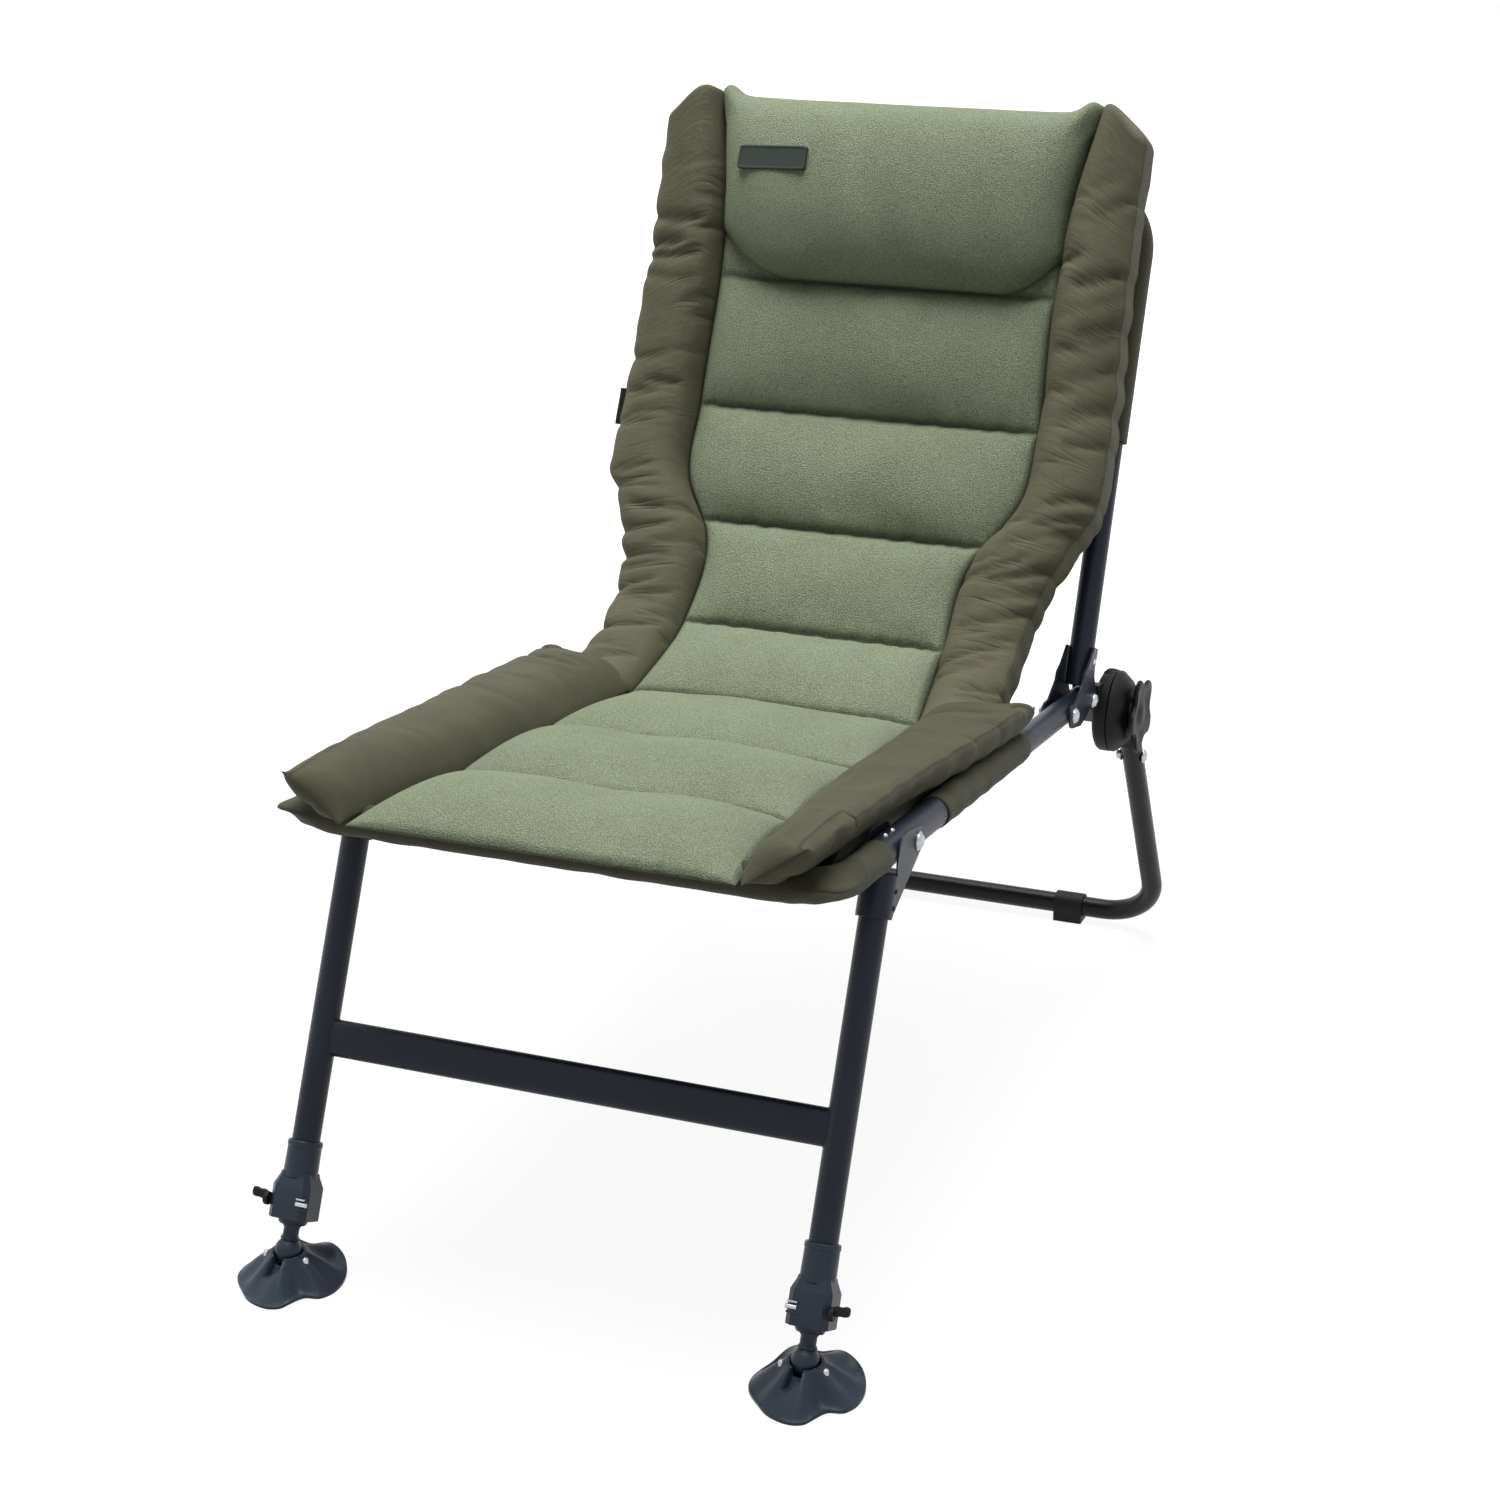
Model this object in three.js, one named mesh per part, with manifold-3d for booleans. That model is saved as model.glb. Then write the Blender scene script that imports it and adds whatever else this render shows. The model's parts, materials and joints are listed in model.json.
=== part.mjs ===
// Folding carp fishing chair with a padded seat and back, two telescopic front legs on swivelling
// mud feet, and a rear leg frame held by two ratchet joints.
// Millimetres. +Z is up, the front of the chair faces -Y, and -X is the viewer's left from the front.
// The origin is on the ground, in the middle of the chair's length and width.
// Each folding part is a group whose own axes run along its tubes, placed at its pivot.

import * as THREE from 'three';
import { mergeVertices } from 'three/addons/utils/BufferGeometryUtils.js';
import Module from 'manifold-3d';

const wasm = await Module();
wasm.setup();

// Tubes and clearances
const railRadius = 12.5;
const rearRadius = 11;
const tubeWall = 1.3;
const innerLegRadius = 8.5;
const gap = 0.3;
const holeClear = 0.8;
const overrun = 6;
const frameHalfWidth = 245;

// Seat frame: a bent tube, tilted down to the rear
const seatTilt = 6.6;
const frontBarY = -403.8;
const frontBarZ = 424;
const railLength = 714;
const seatCornerRadius = 48;
const legPivotAlong = 163.7;
const hingeFromEnd = 79.8;
const endBoltFromEnd = 11;
const hingeAlong = railLength - hingeFromEnd;
const railEndBoltAlong = railLength - endBoltFromEnd;

// Front legs: the leg axis passes in front of its pivot, so its top butts on the rail
const legLean = 26.34;
const legOffset = 41.1;
const legTopSeat = gap * 2;
const crossbarUp = 191;
const crossbarHeight = 33;
const crossbarThickness = 14;
const collarUp = 98;
const innerLegInside = 95;
const ballHeight = 30.7;
const ballRadius = 12;
const ballPlay = 0.6;

// Rear legs: one bent tube in the plane of the two ratchets
const axlePastEnd = 43.6;
const axleAlong = railLength + axlePastEnd;
const axleDrop = 22.1;
const rearLean = 27.9;
const ratchetHalfWall = 22;
const ratchetInset = 1;
const ratchetInnerFrom = frameHalfWidth + ratchetInset;
const ratchetMiddle = ratchetInnerFrom + ratchetHalfWall;
const ratchetOuterTo = ratchetMiddle + ratchetHalfWall;
const rearTubeInset = 13;
const rearHalfWidth = ratchetMiddle + rearTubeInset;
const rearBarHeight = 17;
const rearCornerRadius = 62;
const rearTubeClear = 1.5;

// Backrest frame: behind its hinge by an offset, so its foot rests on the rail
const backLean = 24;
const backOffset = 51;
const backTop = 532;
const backCornerRadius = 62;

// Fabric thicknesses
const sheetWall = 1.5;
const sleeveOuter = railRadius + gap + sheetWall;

// Colours, roughness and metalness
const finishes = {
  frame: { color: 0x20252c, roughness: 0.42, metalness: 0.55 },
  plastic: { color: 0x151617, roughness: 0.5, metalness: 0 },
  foot: { color: 0x30343c, roughness: 0.6, metalness: 0 },
  zinc: { color: 0xc2c5c9, roughness: 0.3, metalness: 0.9 },
  fleece: { color: 0x86936b, roughness: 0.95, metalness: 0 },
  bolster: { color: 0x5b523b, roughness: 0.85, metalness: 0 },
  sheet: { color: 0x544c37, roughness: 0.85, metalness: 0 },
  badge: { color: 0x3a423a, roughness: 0.6, metalness: 0 },
  label: { color: 0x101010, roughness: 0.8, metalness: 0 },
};

const toRadians = Math.PI / 180;
const quarterTurn = Math.PI / 2;
const tubeSides = 12;
const boltSides = 8;
const bendSteps = 5;
const arcSteps = 7;
const axleSides = 16;
const ballSides = 16;
const weldDistance = 1e-4;

// Geometry helpers

// Turns a closed mesh so that its faces point outwards
function facingOut(geometry) {
  const place = geometry.attributes.position;
  const index = geometry.index.array;
  const corner = [new THREE.Vector3(), new THREE.Vector3(), new THREE.Vector3()];
  let volume = 0;
  for (let i = 0; i < index.length; i += 3) {
    corner.forEach((point, k) => point.fromBufferAttribute(place, index[i + k]));
    volume += corner[0].dot(corner[1].cross(corner[2]));
  }
  if (volume < 0) {
    index.reverse();
  }
  return geometry;
}

// A closed surface through rings of points: capped at both ends, or the last ring joined to the first
function loft(rings, joined = false) {
  const count = rings[0].length;
  const points = rings.flat();
  const index = [];
  const bands = joined ? rings.length : rings.length - 1;
  for (let i = 0; i < bands; i += 1) {
    const here = i * count;
    const next = ((i + 1) % rings.length) * count;
    for (let j = 0; j < count; j += 1) {
      const k = (j + 1) % count;
      index.push(here + j, here + k, next + k, here + j, next + k, next + j);
    }
  }
  if (!joined) {
    capRing(points, index, 0, count, true);
    capRing(points, index, (rings.length - 1) * count, count, false);
  }
  const geometry = new THREE.BufferGeometry();
  geometry.setFromPoints(points);
  geometry.setIndex(index);
  return facingOut(geometry);
}

// Closes one ring of a loft with a fan round its middle
function capRing(points, index, start, count, first) {
  const middle = new THREE.Vector3();
  for (let j = 0; j < count; j += 1) {
    middle.addScaledVector(points[start + j], 1 / count);
  }
  const centre = points.length;
  points.push(middle);
  for (let j = 0; j < count; j += 1) {
    const a = start + j;
    const b = start + ((j + 1) % count);
    index.push(centre, first ? b : a, first ? a : b);
  }
}

// A manifold solid of a closed geometry
function toSolid(geometry) {
  const bare = geometry.clone();
  bare.deleteAttribute('normal');
  bare.deleteAttribute('uv');
  const merged = mergeVertices(bare, weldDistance);
  const kept = [];
  const index = merged.index.array;
  for (let i = 0; i < index.length; i += 3) {
    const [a, b, c] = index.slice(i, i + 3);
    if (a !== b && b !== c && c !== a) {
      kept.push(a, b, c);
    }
  }
  return new wasm.Manifold(new wasm.Mesh({
    numProp: 3,
    vertProperties: new Float32Array(merged.attributes.position.array),
    triVerts: new Uint32Array(kept),
  }));
}

// The geometry of a manifold solid
function toGeometry(solid) {
  const mesh = solid.getMesh();
  const geometry = new THREE.BufferGeometry();
  geometry.setAttribute('position', new THREE.BufferAttribute(mesh.vertProperties, 3));
  geometry.setIndex(new THREE.BufferAttribute(mesh.triVerts, 1));
  return geometry;
}

// One geometry joined from several, less the cutters
function joinAndCut(parts, cutters = []) {
  let solid = toSolid(parts[0]);
  parts.slice(1).forEach((part) => {
    solid = solid.add(toSolid(part));
  });
  cutters.forEach((cutter) => {
    solid = solid.subtract(toSolid(cutter));
  });
  return toGeometry(solid);
}

// A round bar along X between two places
function rodAlongX(radius, from, to, y = 0, z = 0, sides = boltSides) {
  const rod = new THREE.CylinderGeometry(radius, radius, to - from, sides);
  rod.rotateZ(quarterTurn);
  return rod.translate((from + to) / 2, y, z);
}

// A round bar along Z between two heights
function rodAlongZ(radius, from, to, x = 0, y = 0, sides = tubeSides) {
  const rod = new THREE.CylinderGeometry(radius, radius, to - from, sides);
  rod.rotateX(quarterTurn);
  return rod.translate(x, y, (from + to) / 2);
}

// A profile of [radius, place] pairs turned about the X axis
function turnedAboutX(profile, sides = boltSides) {
  const points = profile.map(([radius, place]) => new THREE.Vector2(radius, place));
  const turned = new THREE.LatheGeometry(points, sides);
  return turned.rotateZ(-quarterTurn);
}

// A profile of [radius, height] pairs turned about the Z axis
function turnedAboutZ(profile, sides = tubeSides) {
  const points = profile.map(([radius, height]) => new THREE.Vector2(radius, height));
  const turned = new THREE.LatheGeometry(points, sides);
  return turned.rotateX(quarterTurn);
}

// A box by its lowest and highest corner
function boxBetween(low, high) {
  const size = high.map((value, k) => value - low[k]);
  const box = new THREE.BoxGeometry(...size);
  return box.translate(...high.map((value, k) => (value + low[k]) / 2));
}

function extruded(shape, depth) {
  return new THREE.ExtrudeGeometry(shape, { depth, bevelEnabled: false, curveSegments: arcSteps });
}

// A plate whose outline lies in Y and Z, from one X to another
function plateAcrossX(outline, from, to) {
  const shape = outline instanceof THREE.Shape ? outline : shapeOf(outline);
  const plate = extruded(shape, to - from);
  const turn = new THREE.Matrix4().makeBasis(
    new THREE.Vector3(0, 1, 0),
    new THREE.Vector3(0, 0, 1),
    new THREE.Vector3(1, 0, 0),
  );
  return plate.applyMatrix4(turn).translate(from, 0, 0);
}

// A bar whose outline lies in X and Z, from one Y to another
function barAlongY(shape, from, to) {
  const bar = extruded(shape, to - from);
  return bar.rotateX(quarterTurn).translate(0, to, 0);
}

function shapeOf(outline) {
  return new THREE.Shape(outline.map(([a, b]) => new THREE.Vector2(a, b)));
}

// Stations along a bent path: straight runs with round bends at the inner corners
function bentPath(corners, bendRadius) {
  const place = corners.map((corner) => new THREE.Vector3(...corner));
  const along = place.slice(1).map((point, i) => point.clone().sub(place[i]).normalize());
  const stations = [{ point: place[0], heading: along[0] }];
  for (let i = 1; i < place.length - 1; i += 1) {
    const before = along[i - 1];
    const after = along[i];
    for (let k = 0; k <= bendSteps; k += 1) {
      const turn = (quarterTurn * k) / bendSteps;
      const back = bendRadius * (1 - Math.sin(turn));
      const on = bendRadius * (1 - Math.cos(turn));
      const point = place[i].clone().addScaledVector(before, -back).addScaledVector(after, on);
      const heading = before.clone().multiplyScalar(Math.cos(turn));
      stations.push({ point, heading: heading.addScaledVector(after, Math.sin(turn)) });
    }
  }
  stations.push({ point: place[place.length - 1], heading: along[along.length - 1] });
  return stations;
}

// Round rings square to a flat path, whose plane has the given normal
function roundRings(stations, normal, radius) {
  return stations.map(({ point, heading }) => {
    const side = heading.clone().cross(normal);
    return Array.from({ length: tubeSides }, (_, j) => {
      const turn = (2 * Math.PI * j) / tubeSides;
      const out = normal.clone().multiplyScalar(radius * Math.sin(turn));
      return point.clone().addScaledVector(side, radius * Math.cos(turn)).add(out);
    });
  });
}

// A hollow tube along a flat bent path
function bentTube(corners, bendRadius, normal, outer, inner) {
  const stations = bentPath(corners, bendRadius);
  const outside = roundRings(stations, normal, outer);
  const inside = roundRings(stations, normal, inner);
  return loft([...outside, ...inside.reverse()], true);
}

// A ring-shaped tube along Z
function straightTube(outer, inner, low, high) {
  return turnedAboutZ([[inner, low], [outer, low], [outer, high], [inner, high], [inner, low]]);
}

// A bolt along X with a domed head at one end of its grip and a nut at the other
function boltAcrossX(shank, head, from, to, headHeight, nutHeight) {
  const domeShare = 0.6;
  return turnedAboutX([
    [0, from - nutHeight],
    [head * domeShare, from - nutHeight],
    [head, from - nutHeight * domeShare],
    [head, from],
    [shank, from],
    [shank, to],
    [head, to],
    [head, to + headHeight * domeShare],
    [head * domeShare, to + headHeight],
    [0, to + headHeight],
  ]);
}

// A mesh of its own material in a group
function addPiece(group, name, geometry, finish) {
  const mesh = new THREE.Mesh(geometry, new THREE.MeshStandardMaterial(finishes[finish]));
  mesh.name = name;
  group.add(mesh);
  return mesh;
}

// A group placed and tilted about X inside another
function addGroup(parent, y, z, tiltDegrees) {
  const group = new THREE.Group();
  group.position.set(0, y, z);
  group.rotation.x = tiltDegrees * toRadians;
  parent.add(group);
  return group;
}

const bothSides = [{ side: -1, tag: 'l' }, { side: 1, tag: 'r' }];
const upNormal = new THREE.Vector3(0, 0, 1);
const rearNormal = new THREE.Vector3(0, 1, 0);

// Mirrors a geometry made for the +X side to the wanted side
function onSide(geometry, side) {
  if (side > 0) {
    return geometry;
  }
  const mirrored = geometry.clone().scale(-1, 1, 1);
  if (!mirrored.index) {
    mirrored.setIndex([...Array(mirrored.attributes.position.count).keys()]);
  }
  mirrored.index.array.reverse();
  return mirrored;
}

const chair = new THREE.Group();
const seat = addGroup(chair, frontBarY, frontBarZ, -seatTilt);

// Heights and angles of the pivots in the seat's own axes
const pivotZ = frontBarZ - legPivotAlong * Math.sin(seatTilt * toRadians);
const legSine = Math.sin(legLean * toRadians);
const legCosine = Math.cos(legLean * toRadians);
const legLength = (pivotZ + legOffset * legSine - ballHeight) / legCosine;
const tiltSine = Math.sin(seatTilt * toRadians);
const tiltCosine = Math.cos(seatTilt * toRadians);
const axleZ = frontBarZ - axleAlong * tiltSine - axleDrop * tiltCosine;
const rearLength = (axleZ - rearBarHeight) / Math.cos(rearLean * toRadians);

// Seat frame

const bracketInner = sleeveOuter + gap;
const bracketWall = 2;
const bracketOuter = bracketInner + bracketWall;
const pivotBoltRadius = 4;
const pivotHoleRadius = pivotBoltRadius + holeClear;
const hingePlateInner = railRadius + gap;
const hingePlateWall = 2.5;
const hingePlateOuter = hingePlateInner + hingePlateWall;

function makeSeatFrame() {
  const x = frameHalfWidth;
  const corners = [[-x, railLength, 0], [-x, 0, 0], [x, 0, 0], [x, railLength, 0]];
  const inner = railRadius - tubeWall;
  const tube = bentTube(corners, seatCornerRadius, upNormal, railRadius, inner);
  const reach = x + railRadius + overrun;
  const holes = [legPivotAlong, hingeAlong, railEndBoltAlong].flatMap((along) => [
    rodAlongX(pivotHoleRadius, -reach, -reach + 2 * (railRadius + overrun), along),
    rodAlongX(pivotHoleRadius, reach - 2 * (railRadius + overrun), reach, along),
  ]);
  addPiece(seat, 'seat_frame', joinAndCut([tube], holes), 'frame');
}

// Steel saddle over the rail, where the leg's pivot loads it
const saddleBefore = 58.7;
const saddleAfter = 84.3;
const saddleFront = legPivotAlong - saddleBefore;
const saddleRear = legPivotAlong + saddleAfter;
const saddleSkirt = 11;

function makeLegSaddle(side, tag) {
  const inner = railRadius + gap;
  const outer = sleeveOuter;
  const arch = new THREE.Shape();
  arch.moveTo(outer, -saddleSkirt);
  arch.absarc(0, 0, outer, 0, Math.PI, false);
  arch.lineTo(-outer, -saddleSkirt);
  arch.lineTo(-inner, -saddleSkirt);
  arch.absarc(0, 0, inner, Math.PI, 0, true);
  arch.lineTo(inner, -saddleSkirt);
  const bar = barAlongY(arch, saddleFront, saddleRear);
  const hole = rodAlongX(pivotHoleRadius, -outer - overrun, outer + overrun, legPivotAlong);
  const saddle = joinAndCut([bar], [hole]).translate(frameHalfWidth * side, 0, 0);
  addPiece(seat, `leg_saddle_${tag}`, saddle, 'frame');
}

// Bolts through the rails
const boltHeadRadius = 7.5;
const boltHeadHeight = 4;
const boltNutHeight = 3.5;

function makeRailBolt(name, side, along, halfGrip) {
  const reach = halfGrip + gap;
  const bolt = boltAcrossX(pivotBoltRadius, boltHeadRadius, -reach, reach, boltHeadHeight, boltNutHeight);
  bolt.translate(frameHalfWidth, along, 0);
  addPiece(seat, name, onSide(bolt, side), 'zinc');
}

// Base sheet: a tube of cloth round the rails and front bar, with a flat panel under the pads
const panelToHinge = 150.2;
const sleevePastPanel = 8;
const panelNotch = 19;
const panelRear = hingeAlong - panelToHinge;
const sleeveRear = panelRear + sleevePastPanel;
const panelNotchX = frameHalfWidth - panelNotch;
const clothGap = 1;

function makeSeatSheet() {
  const x = frameHalfWidth;
  const bore = railRadius + gap;
  const frontEnd = saddleFront - clothGap;
  const rearStart = saddleRear + clothGap;
  const front = [[-x, frontEnd, 0], [-x, 0, 0], [x, 0, 0], [x, frontEnd, 0]];
  const frontSleeve = bentTube(front, seatCornerRadius, upNormal, sleeveOuter, bore);
  const rearSleeves = [-x, x].map((place) => {
    const ends = [{ point: new THREE.Vector3(place, rearStart, 0), heading: rearNormal }];
    ends.push({ point: new THREE.Vector3(place, sleeveRear, 0), heading: rearNormal });
    const outside = roundRings(ends, upNormal, sleeveOuter);
    return loft([...outside, ...roundRings(ends, upNormal, bore).reverse()], true);
  });
  const corner = seatCornerRadius;
  const notch = panelNotchX;
  const outline = [
    [-x, frontEnd], [-x, corner], [-x + corner, 0], [x - corner, 0], [x, corner], [x, frontEnd],
    [notch, frontEnd], [notch, rearStart], [x, rearStart], [x, panelRear],
    [-x, panelRear], [-x, rearStart], [-notch, rearStart], [-notch, frontEnd],
  ];
  const depth = sheetWall - gap;
  const panel = extruded(shapeOf(outline), depth);
  panel.translate(0, 0, -sleeveOuter);
  addPiece(seat, 'seat_base_sheet', joinAndCut([frontSleeve, ...rearSleeves, panel]), 'sheet');
}

// Pads

const panelTop = -sleeveOuter + sheetWall - gap;
const padFront = -38;
const padRear = panelRear;
const seamLevel = 10;
const seatSeamShares = [0.27, 0.632];
const seatSeams = [padFront, ...seatSeamShares.map((share) => share * panelRear), padRear];
const seatCrown = 17;
const seatWidthShares = [0.722, 0.653, 0.645, 0.604];
const seatHalfWidths = seatWidthShares.map((share) => share * frameHalfWidth);
const padRingPoints = 18;
const channelSteps = 5;
const sideShare = 0.35;
const topShare = 0.7;
const acrossShare = 0.5;
const crownShare = 0.6;
const lipDrop = 3;

// Value between listed ones at a place between listed places
function between(places, values, place) {
  const last = places.length - 2;
  const found = places.findIndex((start, i) => i <= last && place <= places[i + 1]);
  const i = found < 0 ? last : found;
  const share = (place - places[i]) / (places[i + 1] - places[i]);
  return THREE.MathUtils.lerp(values[i], values[i + 1], THREE.MathUtils.clamp(share, 0, 1));
}

// Signed power, which turns an ellipse into a fuller pillow section
function fuller(value, share) {
  return Math.sign(value) * Math.abs(value) ** share;
}

// Pillow section: half width across X, rise in front of the seam line and depth behind it
function pillowRing(centreX, halfWidth, rise, depth, toPoint) {
  return Array.from({ length: padRingPoints }, (_, j) => {
    const turn = (2 * Math.PI * j) / padRingPoints;
    const x = centreX + halfWidth * fuller(Math.cos(turn), acrossShare);
    const sine = Math.sin(turn);
    const height = sine > 0 ? rise * fuller(sine, topShare) : depth * fuller(sine, sideShare);
    return toPoint(x, height);
  });
}

// Places from one seam to the next, with the crown's share of its height at each
function channelStations(seams) {
  const stations = [];
  for (let i = 0; i < seams.length - 1; i += 1) {
    for (let k = i === 0 ? 0 : 1; k <= channelSteps; k += 1) {
      const share = k / channelSteps;
      const swell = Math.max(Math.sin(Math.PI * share), 0) ** crownShare;
      stations.push({ place: THREE.MathUtils.lerp(seams[i], seams[i + 1], share), swell });
    }
  }
  return stations;
}

// Underside of a seat pad: on the panel, up over the front bar's sleeve, then the front lip
function padUnderside(along) {
  const clear = sleeveOuter + gap * 2;
  const ramp = clear * 2;
  if (along < -clear) {
    return lipDrop;
  }
  return between([-clear, clear, ramp], [clear, clear, panelTop + gap], along);
}

function makeSeatCushion() {
  const stations = channelStations(seatSeams);
  const bar = sleeveOuter + gap * 2;
  [-bar - gap, -bar, bar, bar * 2].forEach((place) => {
    const swell = between(stations.map((s) => s.place), stations.map((s) => s.swell), place);
    stations.push({ place, swell });
  });
  stations.sort((a, b) => a.place - b.place);
  const rings = stations.map(({ place, swell }) => {
    const halfWidth = between(seatSeams, seatHalfWidths, place);
    const under = padUnderside(place);
    const overBar = bar + lipDrop;
    const base = between([padFront, -bar, bar, bar * 4], [seamLevel, overBar, overBar, seamLevel], place);
    const rise = lipDrop + seatCrown * swell;
    const toPoint = (x, height) => new THREE.Vector3(x, place, base + height);
    return pillowRing(0, halfWidth, rise, base - under, toPoint);
  });
  addPiece(seat, 'seat_cushion', loft(rings), 'fleece');
}

// Side bolster of the seat: on the rail's sleeve, with its inner part down beside the cushion
const bolsterPastRail = 17;
const bolsterOuter = frameHalfWidth + bolsterPastRail;
const bolsterRest = sleeveOuter + gap;
const bolsterHeight = 50;
const bolsterTopShares = [0.88, 0.98, 1, 0.88, 0.74, 0.54];
const bolsterTops = bolsterTopShares.map((share) => share * bolsterHeight);
const bolsterTip = 28;
const bolsterTipRear = padRear + bolsterTip;
const bolsterStopShares = [0.186, 0.568, 0.826];
const bolsterStops = [
  padFront, ...bolsterStopShares.map((share) => share * panelRear), padRear, bolsterTipRear,
];
const bolsterUnderInset = 35;
const bolsterStepInset = 26;
const bolsterUnderX = frameHalfWidth - bolsterUnderInset;
const bolsterStepX = frameHalfWidth - bolsterStepInset;
const bolsterRailX = panelNotchX;
const bolsterDipShares = [0.128, 0.157, 0.938, 0.967];
const bolsterDips = bolsterDipShares.map((share) => share * panelRear);
const tipInset = 10;
const tipInner = frameHalfWidth - tipInset;
const seamGap = 0.6;
const bolsterSteps = 9;

// Section of the bolster: shares of its width under it, then of its width and rise round its top
const bolsterUnderShares = [0.02, 0.1, 0.2, 0.3, 0.95];
const bolsterRoundShares = [
  [1, 0.3], [0.98, 0.65], [0.86, 0.93], [0.66, 1], [0.42, 0.93], [0.2, 0.6], [0.06, 0.2],
];
const bolsterMiddleShares = [0.5, 0.4];

function seatBolsterRing(along, squeezeShare) {
  const isTip = along > padRear;
  const inner = isTip ? tipInner : between(seatSeams, seatHalfWidths, along) + seamGap;
  const onPanel = panelTop + gap;
  const dip = between(bolsterDips, [bolsterRest, onPanel, onPanel, bolsterRest], along);
  const step = Math.min(bolsterRest, (dip + bolsterRest) / 2);
  const rise = between(bolsterStops, bolsterTops, along) - bolsterRest;
  const across = (share) => THREE.MathUtils.lerp(inner, bolsterOuter, share);
  const above = (share) => bolsterRest + rise * share;
  const underX = [across(bolsterUnderShares[0]), bolsterUnderX, bolsterStepX, bolsterRailX];
  const underZ = [dip, dip, step, bolsterRest, bolsterRest];
  const section = bolsterUnderShares.map((share, i) => [
    isTip || i === underX.length ? across(share) : underX[i],
    underZ[i],
  ]);
  bolsterRoundShares.forEach(([wide, high]) => section.push([across(wide), above(high)]));
  section.push([inner, Math.max(dip, seamLevel)]);
  const [middleX, middleZ] = [across(bolsterMiddleShares[0]), above(bolsterMiddleShares[1])];
  return section.map(([x, z]) => new THREE.Vector3(
    THREE.MathUtils.lerp(middleX, x, squeezeShare),
    along,
    z <= bolsterRest ? z : THREE.MathUtils.lerp(middleZ, z, squeezeShare),
  ));
}

// How far each end draws in, as shares of the section
const bolsterFrontShares = [0.72, 0.93];
const bolsterRearShares = [0.85, 0.5];
const bolsterEndRound = 14;
const bolsterTipStep = 1;

function makeSeatBolster(side, tag) {
  const round = bolsterEndRound;
  const stops = [
    [padFront, bolsterFrontShares[0]],
    [padFront + round / 3, bolsterFrontShares[1]],
    [padFront + round, 1],
  ];
  for (let i = 1; i < bolsterSteps; i += 1) {
    stops.push([THREE.MathUtils.lerp(padFront + round, padRear - round * 2, i / bolsterSteps), 1]);
  }
  bolsterDips.forEach((along) => stops.push([along, 1]));
  stops.push([padRear, 1], [padRear + bolsterTipStep, 1]);
  stops.push([bolsterTipRear - round, bolsterRearShares[0]], [bolsterTipRear, bolsterRearShares[1]]);
  stops.sort((a, b) => a[0] - b[0]);
  const rings = stops.map(([along, squeezeShare]) => seatBolsterRing(along, squeezeShare));
  addPiece(seat, `seat_bolster_${tag}`, onSide(loft(rings), side), 'bolster');
}

// Ratchets

const ratchetRadius = 42;
const ratchetChamfer = 4;
const ratchetSides = 24;
const axleRadius = 5;
const spigotLength = 26;
const armHalfHeight = 15;
const armOverlap = 12;
const armInnerX = frameHalfWidth - armOverlap;

// A disc about the X axis with chamfered rims
function ratchetDisc(from, to) {
  const rim = ratchetRadius - ratchetChamfer;
  return turnedAboutX([
    [0, from],
    [rim, from],
    [ratchetRadius, from + ratchetChamfer],
    [ratchetRadius, to - gap],
    [0, to - gap],
  ], ratchetSides);
}

// Inner half: its arm carries on from the rail's end, with a spigot inside the rail
function makeRatchetInner(side, tag) {
  const disc = ratchetDisc(ratchetInnerFrom, ratchetMiddle);
  disc.translate(0, axleAlong, -axleDrop);
  const armFrom = railLength + gap;
  const arm = plateAcrossX([
    [armFrom, -armHalfHeight], [axleAlong, -axleDrop - armHalfHeight],
    [axleAlong, -axleDrop + armHalfHeight], [armFrom + armHalfHeight, armHalfHeight],
    [armFrom, armHalfHeight],
  ], armInnerX, ratchetMiddle - ratchetChamfer);
  const spigotRadius = railRadius - tubeWall - gap;
  const spigot = new THREE.CylinderGeometry(spigotRadius, spigotRadius, spigotLength + overrun, tubeSides);
  spigot.translate(frameHalfWidth, railLength + overrun - (spigotLength + overrun) / 2, 0);
  const boreFrom = armInnerX - overrun;
  const bore = rodAlongX(axleRadius + gap, boreFrom, ratchetOuterTo, axleAlong, -axleDrop, axleSides);
  const from = frameHalfWidth - railRadius - overrun;
  const to = frameHalfWidth + railRadius + overrun;
  const hole = rodAlongX(pivotHoleRadius, from, to, railEndBoltAlong);
  const housing = joinAndCut([disc, arm, spigot], [bore, hole]);
  addPiece(seat, `ratchet_inner_${tag}`, onSide(housing, side), 'plastic');
}

const knobFrom = ratchetOuterTo;
const knobDepth = 22;
const knobTo = knobFrom + knobDepth;
const knobRadius = 30;
const knobLobe = 5;
const knobLobes = 5;
const knobSteps = 40;
const knobHubRadius = 15;
const knobPlateWall = 11;
const axleHeadRadius = 9;
const axleHeadHeight = 6;
const axleInKnob = 12;

function makeRatchetAxle(side, tag) {
  const axle = turnedAboutX([
    [0, armInnerX - gap - axleHeadHeight],
    [axleHeadRadius, armInnerX - gap - axleHeadHeight],
    [axleHeadRadius, armInnerX - gap],
    [axleRadius, armInnerX - gap],
    [axleRadius, knobFrom + axleInKnob],
    [0, knobFrom + axleInKnob],
  ], axleSides);
  axle.translate(0, axleAlong, -axleDrop);
  addPiece(seat, `ratchet_axle_${tag}`, onSide(axle, side), 'zinc');
}

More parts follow.
